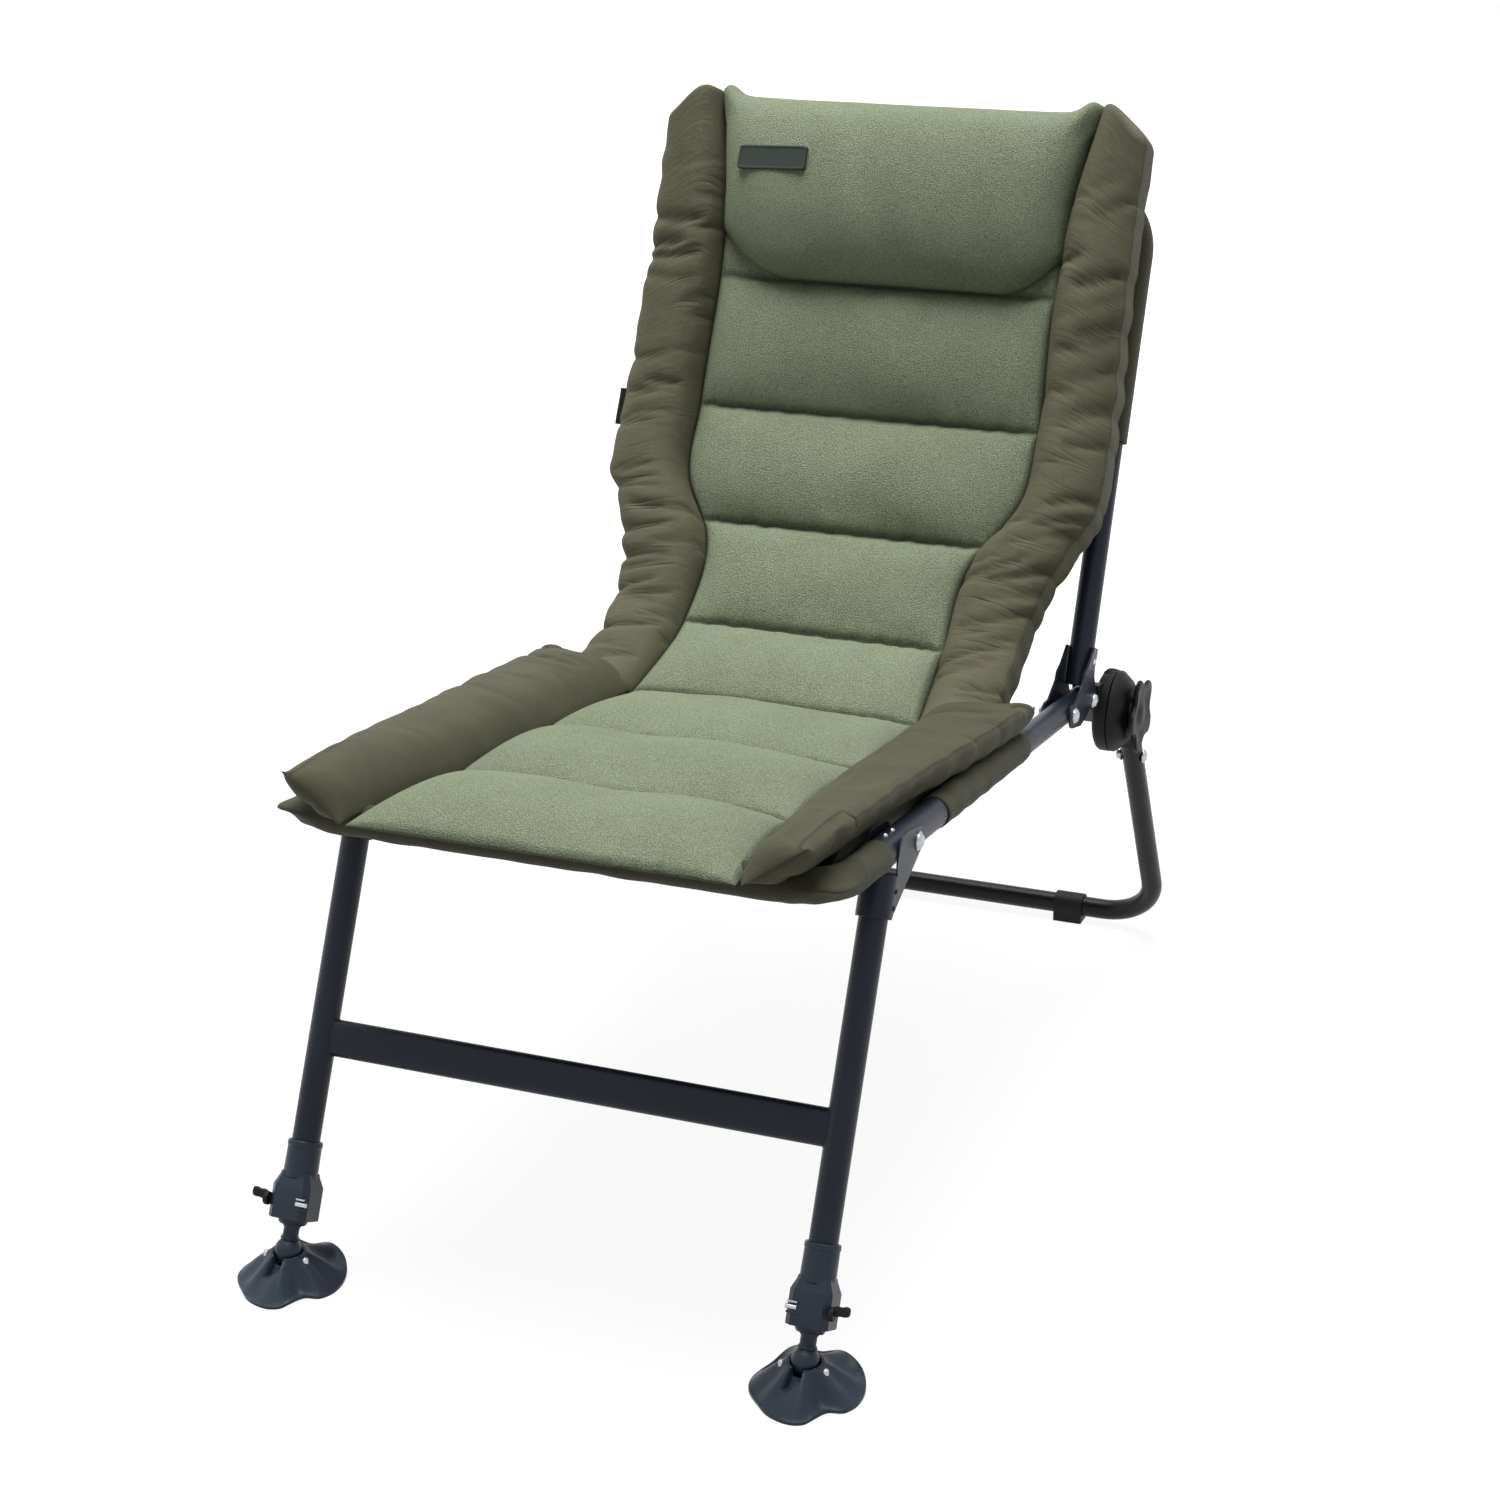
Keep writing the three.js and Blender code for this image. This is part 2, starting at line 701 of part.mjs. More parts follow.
// Star knob: a hub and a plate whose edge swells into lobes
function makeKnob(side, tag) {
  const outline = Array.from({ length: knobSteps }, (_, j) => {
    const turn = (2 * Math.PI * j) / knobSteps;
    const radius = knobRadius + knobLobe * Math.cos(knobLobes * turn);
    return [radius * Math.cos(turn), radius * Math.sin(turn)];
  });
  const star = plateAcrossX(outline, knobTo - knobPlateWall, knobTo);
  const hub = rodAlongX(knobHubRadius, knobFrom + gap, knobTo - gap, 0, 0, tubeSides);
  const boreTo = knobFrom + axleInKnob + gap;
  const bore = rodAlongX(axleRadius + gap, knobFrom - overrun, boreTo, 0, 0, axleSides);
  const knob = joinAndCut([star, hub], [bore]).translate(0, axleAlong, -axleDrop);
  addPiece(seat, `knob_${tag}`, onSide(knob, side), 'plastic');
}

// Front legs

const legs = addGroup(seat, legPivotAlong, 0, seatTilt - legLean);
const legTop = -(legOffset + railRadius) * Math.tan((legLean - seatTilt) * toRadians)
  - sleeveOuter / Math.cos((legLean - seatTilt) * toRadians) - legTopSeat;
const collarTop = -legLength + collarUp;
const collarSleeve = 31;
const blockTop = collarTop - collarSleeve;
const blockHeight = 39;
const blockBottom = blockTop - blockHeight;
const blockHalfWidth = 20.5;
const blockHalfDepth = 18;
const bossRadius = 12.5;
const bossHeight = 5;
const collarOuter = 15;

function makeLegTube(side, tag) {
  const tube = straightTube(railRadius, railRadius - tubeWall, blockTop + gap, legTop);
  tube.translate(frameHalfWidth * side, -legOffset, 0);
  addPiece(legs, `leg_tube_${tag}`, tube, 'frame');
}

function makeCrossbar() {
  const half = crossbarThickness / 2;
  const straight = crossbarHeight / 2 - half;
  const oval = new THREE.Shape();
  oval.absarc(0, straight, half, 0, Math.PI, false);
  oval.absarc(0, -straight, half, Math.PI, 2 * Math.PI, false);
  const reach = frameHalfWidth - railRadius - gap;
  const bar = plateAcrossX(oval, -reach, reach);
  bar.translate(0, -legOffset, -legLength + crossbarUp);
  addPiece(legs, 'leg_crossbar', bar, 'frame');
}

// Leg bracket: a ring round the leg with two side plates that reach back to the pivot
const bracketRingOuter = bracketInner + bracketWall / 2;
const bracketRingLow = -107;
const bracketRingHigh = -52;
const bracketEye = 13;
const bracketFront = 8;
const bracketRear = 11;
const bracketFrontY = -legOffset - bracketFront;
const bracketRearY = -legOffset + bracketRear;
const bracketEyeShares = [0.9, -0.45];
const bracketArcShares = [-0.15, 0.65];
const bracketShoulder = -42;

function makeLegBracket(side, tag) {
  const ring = straightTube(bracketRingOuter, railRadius + gap, bracketRingLow, bracketRingHigh);
  ring.translate(0, -legOffset, 0);
  const outline = new THREE.Shape();
  outline.moveTo(bracketFrontY, bracketRingLow);
  outline.lineTo(bracketRearY, bracketRingLow);
  outline.lineTo(...bracketEyeShares.map((share) => share * bracketEye));
  outline.absarc(0, 0, bracketEye, ...bracketArcShares.map((share) => share * Math.PI), false);
  outline.lineTo(bracketFrontY, bracketShoulder);
  const plates = [[-bracketOuter, -bracketInner], [bracketInner, bracketOuter]];
  const parts = plates.map(([from, to]) => plateAcrossX(outline, from, to));
  const hole = rodAlongX(pivotHoleRadius, -bracketOuter - overrun, bracketOuter + overrun);
  const bracket = joinAndCut([ring, ...parts], [hole]).translate(frameHalfWidth * side, 0, 0);
  addPiece(legs, `leg_bracket_${tag}`, bracket, 'frame');
}

// Clamp collar: sleeve, shouldered block and boss, bored for the inner leg and its clamp screw
const screwRadius = 2.5;
const screwForward = 13.5;
const screwUp = 15;
const slotHalfHeight = 4;
const slotDepth = 9;
const shoulderHeight = 8;
const blockCorner = 5;

function makeCollar(side, tag) {
  const sleeve = rodAlongZ(collarOuter, blockTop - overrun, collarTop);
  const w = blockHalfWidth;
  const d = blockHalfDepth;
  const corner = blockCorner;
  const wide = [[-w, -d + corner], [-w + corner, -d], [w - corner, -d], [w, -d + corner],
    [w, d - corner], [w - corner, d], [-w + corner, d], [-w, d - corner]];
  const shoulderShare = 0.74;
  const levels = [[blockBottom, 1], [blockTop - shoulderHeight, 1], [blockTop, shoulderShare]];
  const block = loft(levels.map(([z, share]) => wide.map(
    ([x, y]) => new THREE.Vector3(x * share, y * share, z),
  )));
  const boss = rodAlongZ(bossRadius, blockBottom - bossHeight, blockBottom + overrun);
  const legBore = rodAlongZ(railRadius + gap, blockTop, collarTop + overrun);
  const innerBore = rodAlongZ(innerLegRadius + gap, blockBottom - bossHeight - overrun, blockTop + overrun);
  const screwZ = blockBottom + screwUp;
  const screwBore = rodAlongX(screwRadius + gap, -w - overrun, w + overrun, -screwForward, screwZ);
  const slot = boxBetween(
    [-w - overrun, -d - overrun, screwZ - slotHalfHeight],
    [-w + slotDepth, -d + slotDepth, screwZ + slotHalfHeight],
  );
  const collar = joinAndCut([sleeve, block, boss], [legBore, innerBore, screwBore, slot]);
  collar.translate(frameHalfWidth, -legOffset, 0);
  addPiece(legs, `leg_collar_${tag}`, onSide(collar, side), 'plastic');
}

// Clamp lever: screw, hub and a short wing on the outer side
const leverHubRadius = 6;
const leverHubLength = 5;
const leverReach = 21;
const leverWing = 9;
const leverWall = 5;

function makeLever(side, tag) {
  const w = blockHalfWidth;
  const screw = rodAlongX(screwRadius, -w + gap, w + overrun);
  const hub = rodAlongX(leverHubRadius, w + gap, w + leverHubLength);
  const wing = boxBetween(
    [w + gap * 2, -leverWall / 2, -leverHubRadius / 2],
    [w + leverReach, leverWall / 2, leverWing],
  );
  const lever = joinAndCut([hub, screw, wing]);
  lever.translate(frameHalfWidth, -legOffset - screwForward, blockBottom + screwUp);
  addPiece(legs, `clamp_lever_${tag}`, onSide(lever, side), 'plastic');
}

// Inner leg: a tube closed by a neck that is hollowed to sit on the ball
const innerLegTop = blockTop + innerLegInside;
const neckRadius = 7;
const neckDrop = 3;
const neckTop = blockBottom - bossHeight - neckDrop;
const seatShare = 0.7;

function makeInnerLeg(side, tag) {
  const ballZ = -legLength;
  const inner = innerLegRadius - tubeWall;
  const leg = turnedAboutZ([
    [0, ballZ + ballRadius * seatShare],
    [neckRadius, ballZ + ballRadius * seatShare],
    [neckRadius, neckTop],
    [innerLegRadius, neckTop + overrun / 2],
    [innerLegRadius, innerLegTop],
    [inner, innerLegTop],
    [inner, neckTop + overrun],
    [0, neckTop + overrun],
  ]);
  const room = sphereAboutZ(ballRoomRadius).rotateX(legLean * toRadians).translate(0, 0, ballZ);
  const piece = joinAndCut([leg], [room]).translate(frameHalfWidth * side, -legOffset, 0);
  addPiece(legs, `inner_leg_${tag}`, piece, 'frame');
}

// Mud foot, upright at the ball
const footRadius = 48;
const footLobe = 3.5;
const footLobes = 6;
const footRim = 3;
const hubRadius = 17;
const footSteps = 18;

const ankle = addGroup(legs, -legOffset, -legLength, legLean);

function sphereAboutZ(radius) {
  return new THREE.SphereGeometry(radius, ballSides, ballSides / 2).rotateX(quarterTurn);
}

// Room for the ball in what sits against it
const ballRoomRadius = ballRadius + ballPlay;

function makeBall(side, tag) {
  const ball = sphereAboutZ(ballRadius).translate(frameHalfWidth * side, 0, 0);
  addPiece(ankle, `foot_ball_${tag}`, ball, 'foot');
}

// Dish from its rim to the hub, then its underside back to the rim: radius, height and wave,
// as shares of the rim's radius, of the ball's height and of the lobes
const dishTopShares = [[0.82, 0.235, 0.9], [0.6, 0.45, 0.5], [0.407, 0.723, 0.1]];
const dishUnderShares = [[0.6, 0.254, 0.5], [0.85, 0.078, 0.9]];
const hubUnderShare = 0.8;

function makeFoot(side, tag) {
  const ground = -ballHeight;
  const hubUnder = -ballRadius - ballPlay - footRim;
  const onDish = ([wide, high, wave]) => [wide * footRadius, ground + high * ballHeight, wave];
  const profile = [
    [footRadius, ground, 1], [footRadius, ground + footRim, 1], ...dishTopShares.map(onDish),
    [hubRadius, 0, 0], [0, 0, 0], [0, hubUnder, 0], [hubRadius * hubUnderShare, hubUnder, 0],
    ...dishUnderShares.map(onDish), [footRadius - footRim, ground, 1],
  ];
  const rings = Array.from({ length: footSteps }, (_, j) => {
    const turn = (2 * Math.PI * j) / footSteps;
    const wave = footLobe * Math.cos(footLobes * turn);
    return profile.map(([radius, z, share]) => {
      const r = radius + wave * share;
      return new THREE.Vector3(r * Math.cos(turn), r * Math.sin(turn), z);
    });
  });
  const foot = joinAndCut([loft(rings, true)], [sphereAboutZ(ballRoomRadius)]);
  addPiece(ankle, `mud_foot_${tag}`, foot.translate(frameHalfWidth * side, 0, 0), 'foot');
}

// Retaining strap over each side of the ball, bent from the foot's hub
const strapHalf = 5;
const strapWall = 2;
const strapReach = 9;

function makeStrap(side, tag) {
  const clear = ballRoomRadius;
  const hub = hubRadius;
  const low = gap;
  const parts = [-1, 1].map((face) => {
    const arm = boxBetween([clear - strapWall, -strapHalf, low], [hub, strapHalf, low + strapWall]);
    return face > 0 ? arm : arm.rotateZ(Math.PI);
  });
  const bow = turnedAboutZ([
    [clear - strapWall / 2, low], [hub - gap, low], [hub - gap, low + strapWall],
    [clear - strapWall / 2, low + strapWall], [clear - strapWall / 2, low],
  ]);
  const rear = boxBetween([-strapReach, 0, -overrun], [strapReach, hub + overrun, overrun]);
  const strap = joinAndCut([bow, ...parts], [rear, sphereAboutZ(ballRoomRadius)]);
  addPiece(ankle, `ball_strap_${tag}`, strap.translate(frameHalfWidth * side, 0, 0), 'foot');
}

// Rear leg frame, along its own tubes from the ratchet axle

const rear = addGroup(seat, axleAlong, -axleDrop, seatTilt + rearLean);
const rearTubeTop = -ratchetRadius - rearTubeClear;
const rearSpigot = 32;
const rearBoltDown = 55;

function makeRatchetOuter(side, tag) {
  const disc = ratchetDisc(ratchetMiddle - gap, ratchetOuterTo + gap);
  const from = ratchetMiddle;
  const flipped = disc.scale(-1, 1, 1).translate(2 * from + (ratchetOuterTo - from), 0, 0);
  flipped.setIndex(Array.from(flipped.index.array).reverse());
  const inner = rearRadius - tubeWall - gap;
  const spigot = rodAlongZ(inner, rearTubeTop - rearSpigot, -ratchetRadius / 2, rearHalfWidth);
  const neck = rodAlongZ(rearRadius, rearTubeTop + gap, -ratchetRadius / 2, rearHalfWidth);
  const neckRoom = boxBetween(
    [ratchetMiddle - overrun * 2, -rearRadius * 2, -ratchetRadius * 2],
    [ratchetMiddle, rearRadius * 2, 0],
  );
  const boreFrom = ratchetMiddle - overrun;
  const bore = rodAlongX(axleRadius + gap, boreFrom, ratchetOuterTo + overrun, 0, 0, axleSides);
  const hole = rodAlongX(
    screwRadius + gap * 2, ratchetMiddle - overrun, ratchetOuterTo + overrun * 2, 0, -rearBoltDown,
  );
  const housing = joinAndCut([flipped, neck, spigot], [neckRoom, bore, hole]);
  addPiece(rear, `ratchet_outer_${tag}`, onSide(housing, side), 'plastic');
}

function makeRearFrame() {
  const x = rearHalfWidth;
  const low = -rearLength;
  const corners = [[-x, 0, rearTubeTop], [-x, 0, low], [x, 0, low], [x, 0, rearTubeTop]];
  const inner = rearRadius - tubeWall;
  const tube = bentTube(corners, rearCornerRadius, rearNormal, rearRadius, inner);
  const holes = [-x, x].map((place) => rodAlongX(
    screwRadius + gap * 2, place - rearRadius - overrun, place + rearRadius + overrun, 0, -rearBoltDown,
  ));
  addPiece(rear, 'rear_leg_frame', joinAndCut([tube], holes), 'frame');
}

function makeRearBolt(side, tag) {
  const reach = rearRadius + gap;
  const bolt = boltAcrossX(screwRadius, screwRadius * 2, -reach, reach, screwRadius, screwRadius);
  bolt.translate(rearHalfWidth, 0, -rearBoltDown);
  addPiece(rear, `rear_leg_bolt_${tag}`, onSide(bolt, side), 'zinc');
}

// Plastic clip under the rear bar, upright on the ground
const clipInset = 99;
const clipX = rearHalfWidth - clipInset;
const clipHalf = 16;
const clipOuter = 14;
const clipHalfFoot = 13;

function makeClip(side, tag) {
  const upright = addGroup(rear, 0, -rearLength, -rearLean);
  const ring = rodAlongX(clipOuter, clipX - clipHalf, clipX + clipHalf, 0, 0, tubeSides);
  const foot = boxBetween(
    [clipX - clipHalf, -clipHalfFoot, -rearBarHeight], [clipX + clipHalf, clipHalfFoot, -rearRadius],
  );
  const bore = rodAlongX(
    rearRadius + gap, clipX - clipHalf - overrun, clipX + clipHalf + overrun, 0, 0, tubeSides,
  );
  const clip = onSide(joinAndCut([ring, foot], [bore]), side);
  addPiece(upright, `rear_clip_${tag}`, clip, 'plastic');
}

// Backrest, along its own tubes from the hinge bolt

const back = addGroup(seat, hingeAlong, 0, seatTilt - backLean);
const backRakeTan = Math.tan((backLean - seatTilt) * toRadians);
const backFoot = (backOffset + railRadius) * backRakeTan
  + railRadius / Math.cos((backLean - seatTilt) * toRadians) + gap;

const rivetRadius = 3;
const rivetHead = 5.5;
const rivetHeadHeight = 2;
const rivetUp = 57;

function makeBackFrame() {
  const x = frameHalfWidth;
  const y = backOffset;
  const corners = [[-x, y, backFoot], [-x, y, backTop], [x, y, backTop], [x, y, backFoot]];
  const inner = railRadius - tubeWall;
  const tube = bentTube(corners, backCornerRadius, rearNormal, railRadius, inner);
  const holes = [-x, x].map((place) => rodAlongX(
    rivetRadius + gap, place - railRadius - overrun, place + railRadius + overrun, y, rivetUp,
  ));
  addPiece(back, 'back_frame', joinAndCut([tube], holes), 'frame');
}

// Hinge bracket: two plates astride the rail and the back tube, joined by their rivet
const hingeEye = 13;
const hingePlateHeight = 42;
const hingeRearShares = [0.143, 1];
const hingeFrontShares = [0.857, 0.071];
const hingeLowShares = [0.8, -0.6];
const hingeHighShares = [-0.95, 0.32];
const hingeArcShares = [0.9, 1.8];
const footMiddleShare = 0.5;
const plateFrontRadii = 2;
const plateNeckRadii = 3.3;

function makeHingeBracket(side, tag) {
  const rearEdge = backOffset + railRadius;
  const outline = new THREE.Shape();
  const onEye = (shares) => shares.map((share) => share * hingeEye);
  const up = (share) => backFoot + share * hingePlateHeight;
  outline.moveTo(...onEye(hingeLowShares));
  outline.lineTo(backOffset, backFoot * footMiddleShare);
  outline.lineTo(rearEdge, up(hingeRearShares[0]));
  outline.lineTo(rearEdge, up(hingeRearShares[1]));
  outline.lineTo(backOffset - railRadius * plateFrontRadii, up(hingeFrontShares[0]));
  outline.lineTo(backOffset - railRadius * plateNeckRadii, up(hingeFrontShares[1]));
  outline.lineTo(...onEye(hingeHighShares));
  outline.absarc(0, 0, hingeEye, ...hingeArcShares.map((share) => share * Math.PI), false);
  const plates = [[-hingePlateOuter, -hingePlateInner], [hingePlateInner, hingePlateOuter]];
  const parts = plates.map(([from, to]) => plateAcrossX(outline, from, to));
  const hole = rodAlongX(pivotHoleRadius, -hingePlateOuter - overrun, hingePlateOuter + overrun);
  const sunk = hingePlateWall / 2;
  const rivet = boltAcrossX(
    rivetRadius, rivetHead, -hingePlateOuter + sunk, hingePlateOuter - sunk,
    rivetHeadHeight + sunk, rivetHeadHeight + sunk,
  );
  const cutRivet = joinAndCut([rivet.translate(0, backOffset, rivetUp)]);
  const bracket = joinAndCut([...parts, cutRivet], [hole]).translate(frameHalfWidth * side, 0, 0);
  addPiece(back, `hinge_bracket_${tag}`, bracket, 'frame');
}

// Back cover: a cloth pocket over the top of the back frame, open at its hem
const coverHemShare = 0.526;
const coverHem = coverHemShare * backTop;
const coverClear = 0.6;

function coverOutline(halfWidth, low, high, cornerRadius) {
  const shape = new THREE.Shape();
  shape.moveTo(-halfWidth, low);
  shape.lineTo(halfWidth, low);
  shape.absarc(halfWidth - cornerRadius, high - cornerRadius, cornerRadius, 0, quarterTurn, false);
  shape.absarc(cornerRadius - halfWidth, high - cornerRadius, cornerRadius, quarterTurn, Math.PI, false);
  return shape;
}

function makeBackCover() {
  const inner = railRadius + coverClear;
  const outer = inner + sheetWall;
  const x = frameHalfWidth;
  const bend = backCornerRadius;
  const outside = coverOutline(x + outer, coverHem, backTop + outer, bend + outer);
  const inside = coverOutline(x + inner, coverHem - overrun, backTop + inner, bend + inner);
  const body = barAlongY(outside, backOffset - outer, backOffset + outer);
  const room = barAlongY(inside, backOffset - inner, backOffset + inner);
  addPiece(back, 'back_cover', joinAndCut([body], [room]), 'sheet');
}

// Back pad: seam line from the seat crease up to the top edge, as shares of the back tubes' length,
// each pair behind the hinge and up from it
const coverFace = backOffset - railRadius - coverClear - sheetWall;
const seamFrontShare = 0.0056;
const seamLineShares = [
  [-0.2613, -0.0564], [-0.126, 0.0808], [-0.0414, 0.2857],
  [seamFrontShare, 0.515], [seamFrontShare, 0.7707], [seamFrontShare, 1.1053],
];
const seamLine = seamLineShares.map((pair) => new THREE.Vector2(pair[0] * backTop, pair[1] * backTop));
const padThickness = 28;
const lowThicknessShares = [1, 0.965, 0.965];
const onCover = coverFace - gap - seamFrontShare * backTop;
const lowThickness = lowThicknessShares.map((share) => share * padThickness);
const seamThickness = [...lowThickness, onCover, onCover, onCover];
const backWidthShares = [0.604, 0.563, 0.6, 0.747, 0.739, 0.816];
const backHalfWidths = backWidthShares.map((share) => share * frameHalfWidth);
const backCrown = 17;
const backCrownShares = [0.88, 0.88, 1, 0.88, 0];
const backEdgeRise = 2;
const backCurve = new THREE.SplineCurve(seamLine);
const channelCount = seamLine.length - 1;
const channelShares = seamLine.map((_, i) => i / channelCount);

// Place, forward normal, half width and thickness at a share of the seam line
function backStation(share) {
  const heading = backCurve.getTangent(share);
  return {
    place: backCurve.getPoint(share),
    front: new THREE.Vector2(-heading.y, heading.x),
    halfWidth: between(channelShares, backHalfWidths, share),
    thickness: between(channelShares, seamThickness, share),
  };
}

// Turns a place across the pad and in front of its seam line into a point clear of the cover's face
function onBackPad({ place, front }, x, height) {
  const y = place.x + front.x * height;
  const isAbove = place.y > coverHem - overrun;
  return new THREE.Vector3(x, isAbove ? Math.min(y, coverFace - gap) : y, place.y + front.y * height);
}

function makeBackCushion() {
  const rings = channelStations(channelShares).map(({ place: share, swell }) => {
    const station = backStation(share);
    const channel = Math.min(Math.floor(share * channelCount), channelCount - 1);
    const rise = backEdgeRise + backCrown * backCrownShares[channel] * swell;
    const toPoint = (x, height) => onBackPad(station, x, height);
    return pillowRing(0, station.halfWidth, rise, station.thickness, toPoint);
  });
  addPiece(back, 'back_cushion', loft(rings), 'fleece');
}

// Back bolster: outside the cushion along the same seam line, narrow where it passes the rails
const backBolsterPlaceShares = [0, 0.2, 0.4, 0.455, 0.6, 0.8, 0.95, 1];
const backOuterShares = [0.922, 0.89, 0.927, 1.065, 1.061, 1.049, 1.041, 0.947];
const backBolsterRise = 38;
const backRiseShares = [0.37, 0.53, 0.79, 0.95, 1, 1, 0.895, 0.474];
const backBolsterSteps = 25;

function backOuter(share) {
  return between(backBolsterPlaceShares, backOuterShares, share) * frameHalfWidth;
}

function makeBackBolster(side, tag) {
  const rings = Array.from({ length: backBolsterSteps + 1 }, (_, i) => {
    const share = i / backBolsterSteps;
    const station = backStation(share);
    const inner = station.halfWidth + seamGap;
    const outer = backOuter(share);
    const rise = between(backBolsterPlaceShares, backRiseShares, share) * backBolsterRise;
    const middle = (rise - station.thickness) / 2;
    const half = (rise + station.thickness) / 2;
    const toPoint = (x, height) => onBackPad(station, x, middle + height);
    return pillowRing((inner + outer) / 2, (outer - inner) / 2, half, half, toPoint);
  });
  addPiece(back, `back_bolster_${tag}`, onSide(loft(rings), side), 'bolster');
}

// Headrest pillow in front of the cushion's top, with the badge let into it
const pillowLow = seamLine[channelCount - 1].y;
const pillowPastSeam = 12;
const pillowHigh = seamLine[channelCount].y + pillowPastSeam;
const pillowCorner = 45;
const pillowLowInset = 133;
const pillowLowHalf = frameHalfWidth - pillowLowInset;
const pillowBulge = 42;
const pillowSteps = 12;
const badgeInset = 114;
const badgeBelowTop = 65;
const badgeX = badgeInset - frameHalfWidth;
const badgeUp = pillowHigh - badgeBelowTop;
const badgeWidth = 74;
const badgeHeight = 26;
const badgeWall = 3;
const badgeProud = 5;
const pillowEdge = 4;

// The pillow's back face keeps clear of the cushion's crown
const pillowBackY = -4;

function makePillow() {
  const topSeams = [seamLine[channelCount - 1].y, seamLine[channelCount].y];
  const rings = Array.from({ length: pillowSteps + 1 }, (_, i) => {
    const turn = (Math.PI * i) / pillowSteps;
    const z = THREE.MathUtils.lerp(pillowLow, pillowHigh, (1 - Math.cos(turn)) / 2);
    const station = backStation(between(topSeams, channelShares.slice(-2), z));
    const below = Math.max(0, pillowLow + pillowCorner - z) / pillowCorner;
    const spread = Math.sqrt(Math.max(0, 1 - below * below));
    const wide = THREE.MathUtils.lerp(pillowLowHalf, station.halfWidth - seamGap, spread);
    const bulge = pillowEdge + pillowBulge * Math.sin(turn) ** crownShare;
    return pillowRing(0, wide, bulge, gap, (x, height) => new THREE.Vector3(x, pillowBackY - height, z));
  });
  const badgeRear = pillowBackY - pillowBulge + badgeProud - gap;
  const low = [badgeX - badgeWidth / 2, badgeRear - badgeWall, badgeUp - badgeHeight / 2];
  const high = [badgeX + badgeWidth / 2, badgeRear, badgeUp + badgeHeight / 2];
  const pocket = boxBetween(
    [low[0] - gap, low[1] - pillowBulge, low[2] - gap],
    [high[0] + gap, high[1] + gap, high[2] + gap],
  );
  addPiece(back, 'headrest_pillow', joinAndCut([loft(rings)], [pocket]), 'fleece');
  addPiece(back, 'badge_plate', boxBetween(low, high), 'badge');
}

// Blank tab label sewn into the outer seam of one back bolster
const labelUpShare = 0.4925;
const labelUp = labelUpShare * backTop;
const labelHeight = 38;
const labelWidth = 9;
const labelWall = 1.2;
const labelY = -14;
const labelShare = 0.6;

function makeLabel() {
  const to = -backOuter(labelShare) - gap;
  const label = boxBetween(
    [to - labelWidth, labelY - labelWall, labelUp - labelHeight / 2],
    [to, labelY, labelUp + labelHeight / 2],
  );
  addPiece(back, 'side_label', label, 'label');
}

makeSeatFrame();
makeSeatSheet();
makeSeatCushion();
makeCrossbar();
makeRearFrame();
makeBackFrame();
makeBackCover();
makeBackCushion();
makePillow();
makeLabel();
bothSides.forEach(({ side, tag }) => {
  makeLegSaddle(side, tag);
  makeRailBolt(`leg_pivot_bolt_${tag}`, side, legPivotAlong, bracketOuter);
  makeRailBolt(`hinge_bolt_${tag}`, side, hingeAlong, hingePlateOuter);
  makeRailBolt(`rail_end_bolt_${tag}`, side, railEndBoltAlong, railRadius);
  makeSeatBolster(side, tag);
  makeRatchetInner(side, tag);
  makeRatchetAxle(side, tag);
  makeKnob(side, tag);
  makeLegTube(side, tag);
  makeLegBracket(side, tag);
  makeCollar(side, tag);
  makeLever(side, tag);
  makeInnerLeg(side, tag);
  makeBall(side, tag);
  makeFoot(side, tag);
  makeStrap(side, tag);
  makeRatchetOuter(side, tag);
  makeRearBolt(side, tag);
  makeClip(side, tag);
  makeHingeBracket(side, tag);
  makeBackBolster(side, tag);
});

export default chair;
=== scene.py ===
import json

import bmesh
import bpy
import numpy as np
from mathutils import Matrix, Vector


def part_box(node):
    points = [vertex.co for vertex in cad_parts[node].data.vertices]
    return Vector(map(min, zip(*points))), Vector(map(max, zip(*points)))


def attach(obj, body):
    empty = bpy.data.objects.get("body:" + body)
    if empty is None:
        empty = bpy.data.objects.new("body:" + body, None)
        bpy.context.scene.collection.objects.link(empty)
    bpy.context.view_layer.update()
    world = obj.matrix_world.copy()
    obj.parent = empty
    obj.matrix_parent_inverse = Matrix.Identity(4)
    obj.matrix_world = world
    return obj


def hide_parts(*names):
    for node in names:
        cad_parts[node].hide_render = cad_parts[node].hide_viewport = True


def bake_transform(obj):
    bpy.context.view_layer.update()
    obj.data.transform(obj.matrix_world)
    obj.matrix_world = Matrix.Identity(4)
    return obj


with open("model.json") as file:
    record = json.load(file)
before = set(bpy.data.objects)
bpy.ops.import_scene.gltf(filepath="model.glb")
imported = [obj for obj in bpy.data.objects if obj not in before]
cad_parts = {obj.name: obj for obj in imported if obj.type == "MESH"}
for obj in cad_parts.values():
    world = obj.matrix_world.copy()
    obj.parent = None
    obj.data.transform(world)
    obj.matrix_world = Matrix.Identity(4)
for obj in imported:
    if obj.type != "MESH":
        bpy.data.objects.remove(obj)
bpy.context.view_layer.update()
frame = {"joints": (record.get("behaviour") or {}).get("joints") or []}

# Looks of a folding carp fishing chair. Shapes are worked out in millimetres in the axes of
# the part that carries them, and placed in the frame in metres. Each part's axes start at its
# pivot, with Y along its rails or towards its rear and Z up along its tubes.

MM = 0.001

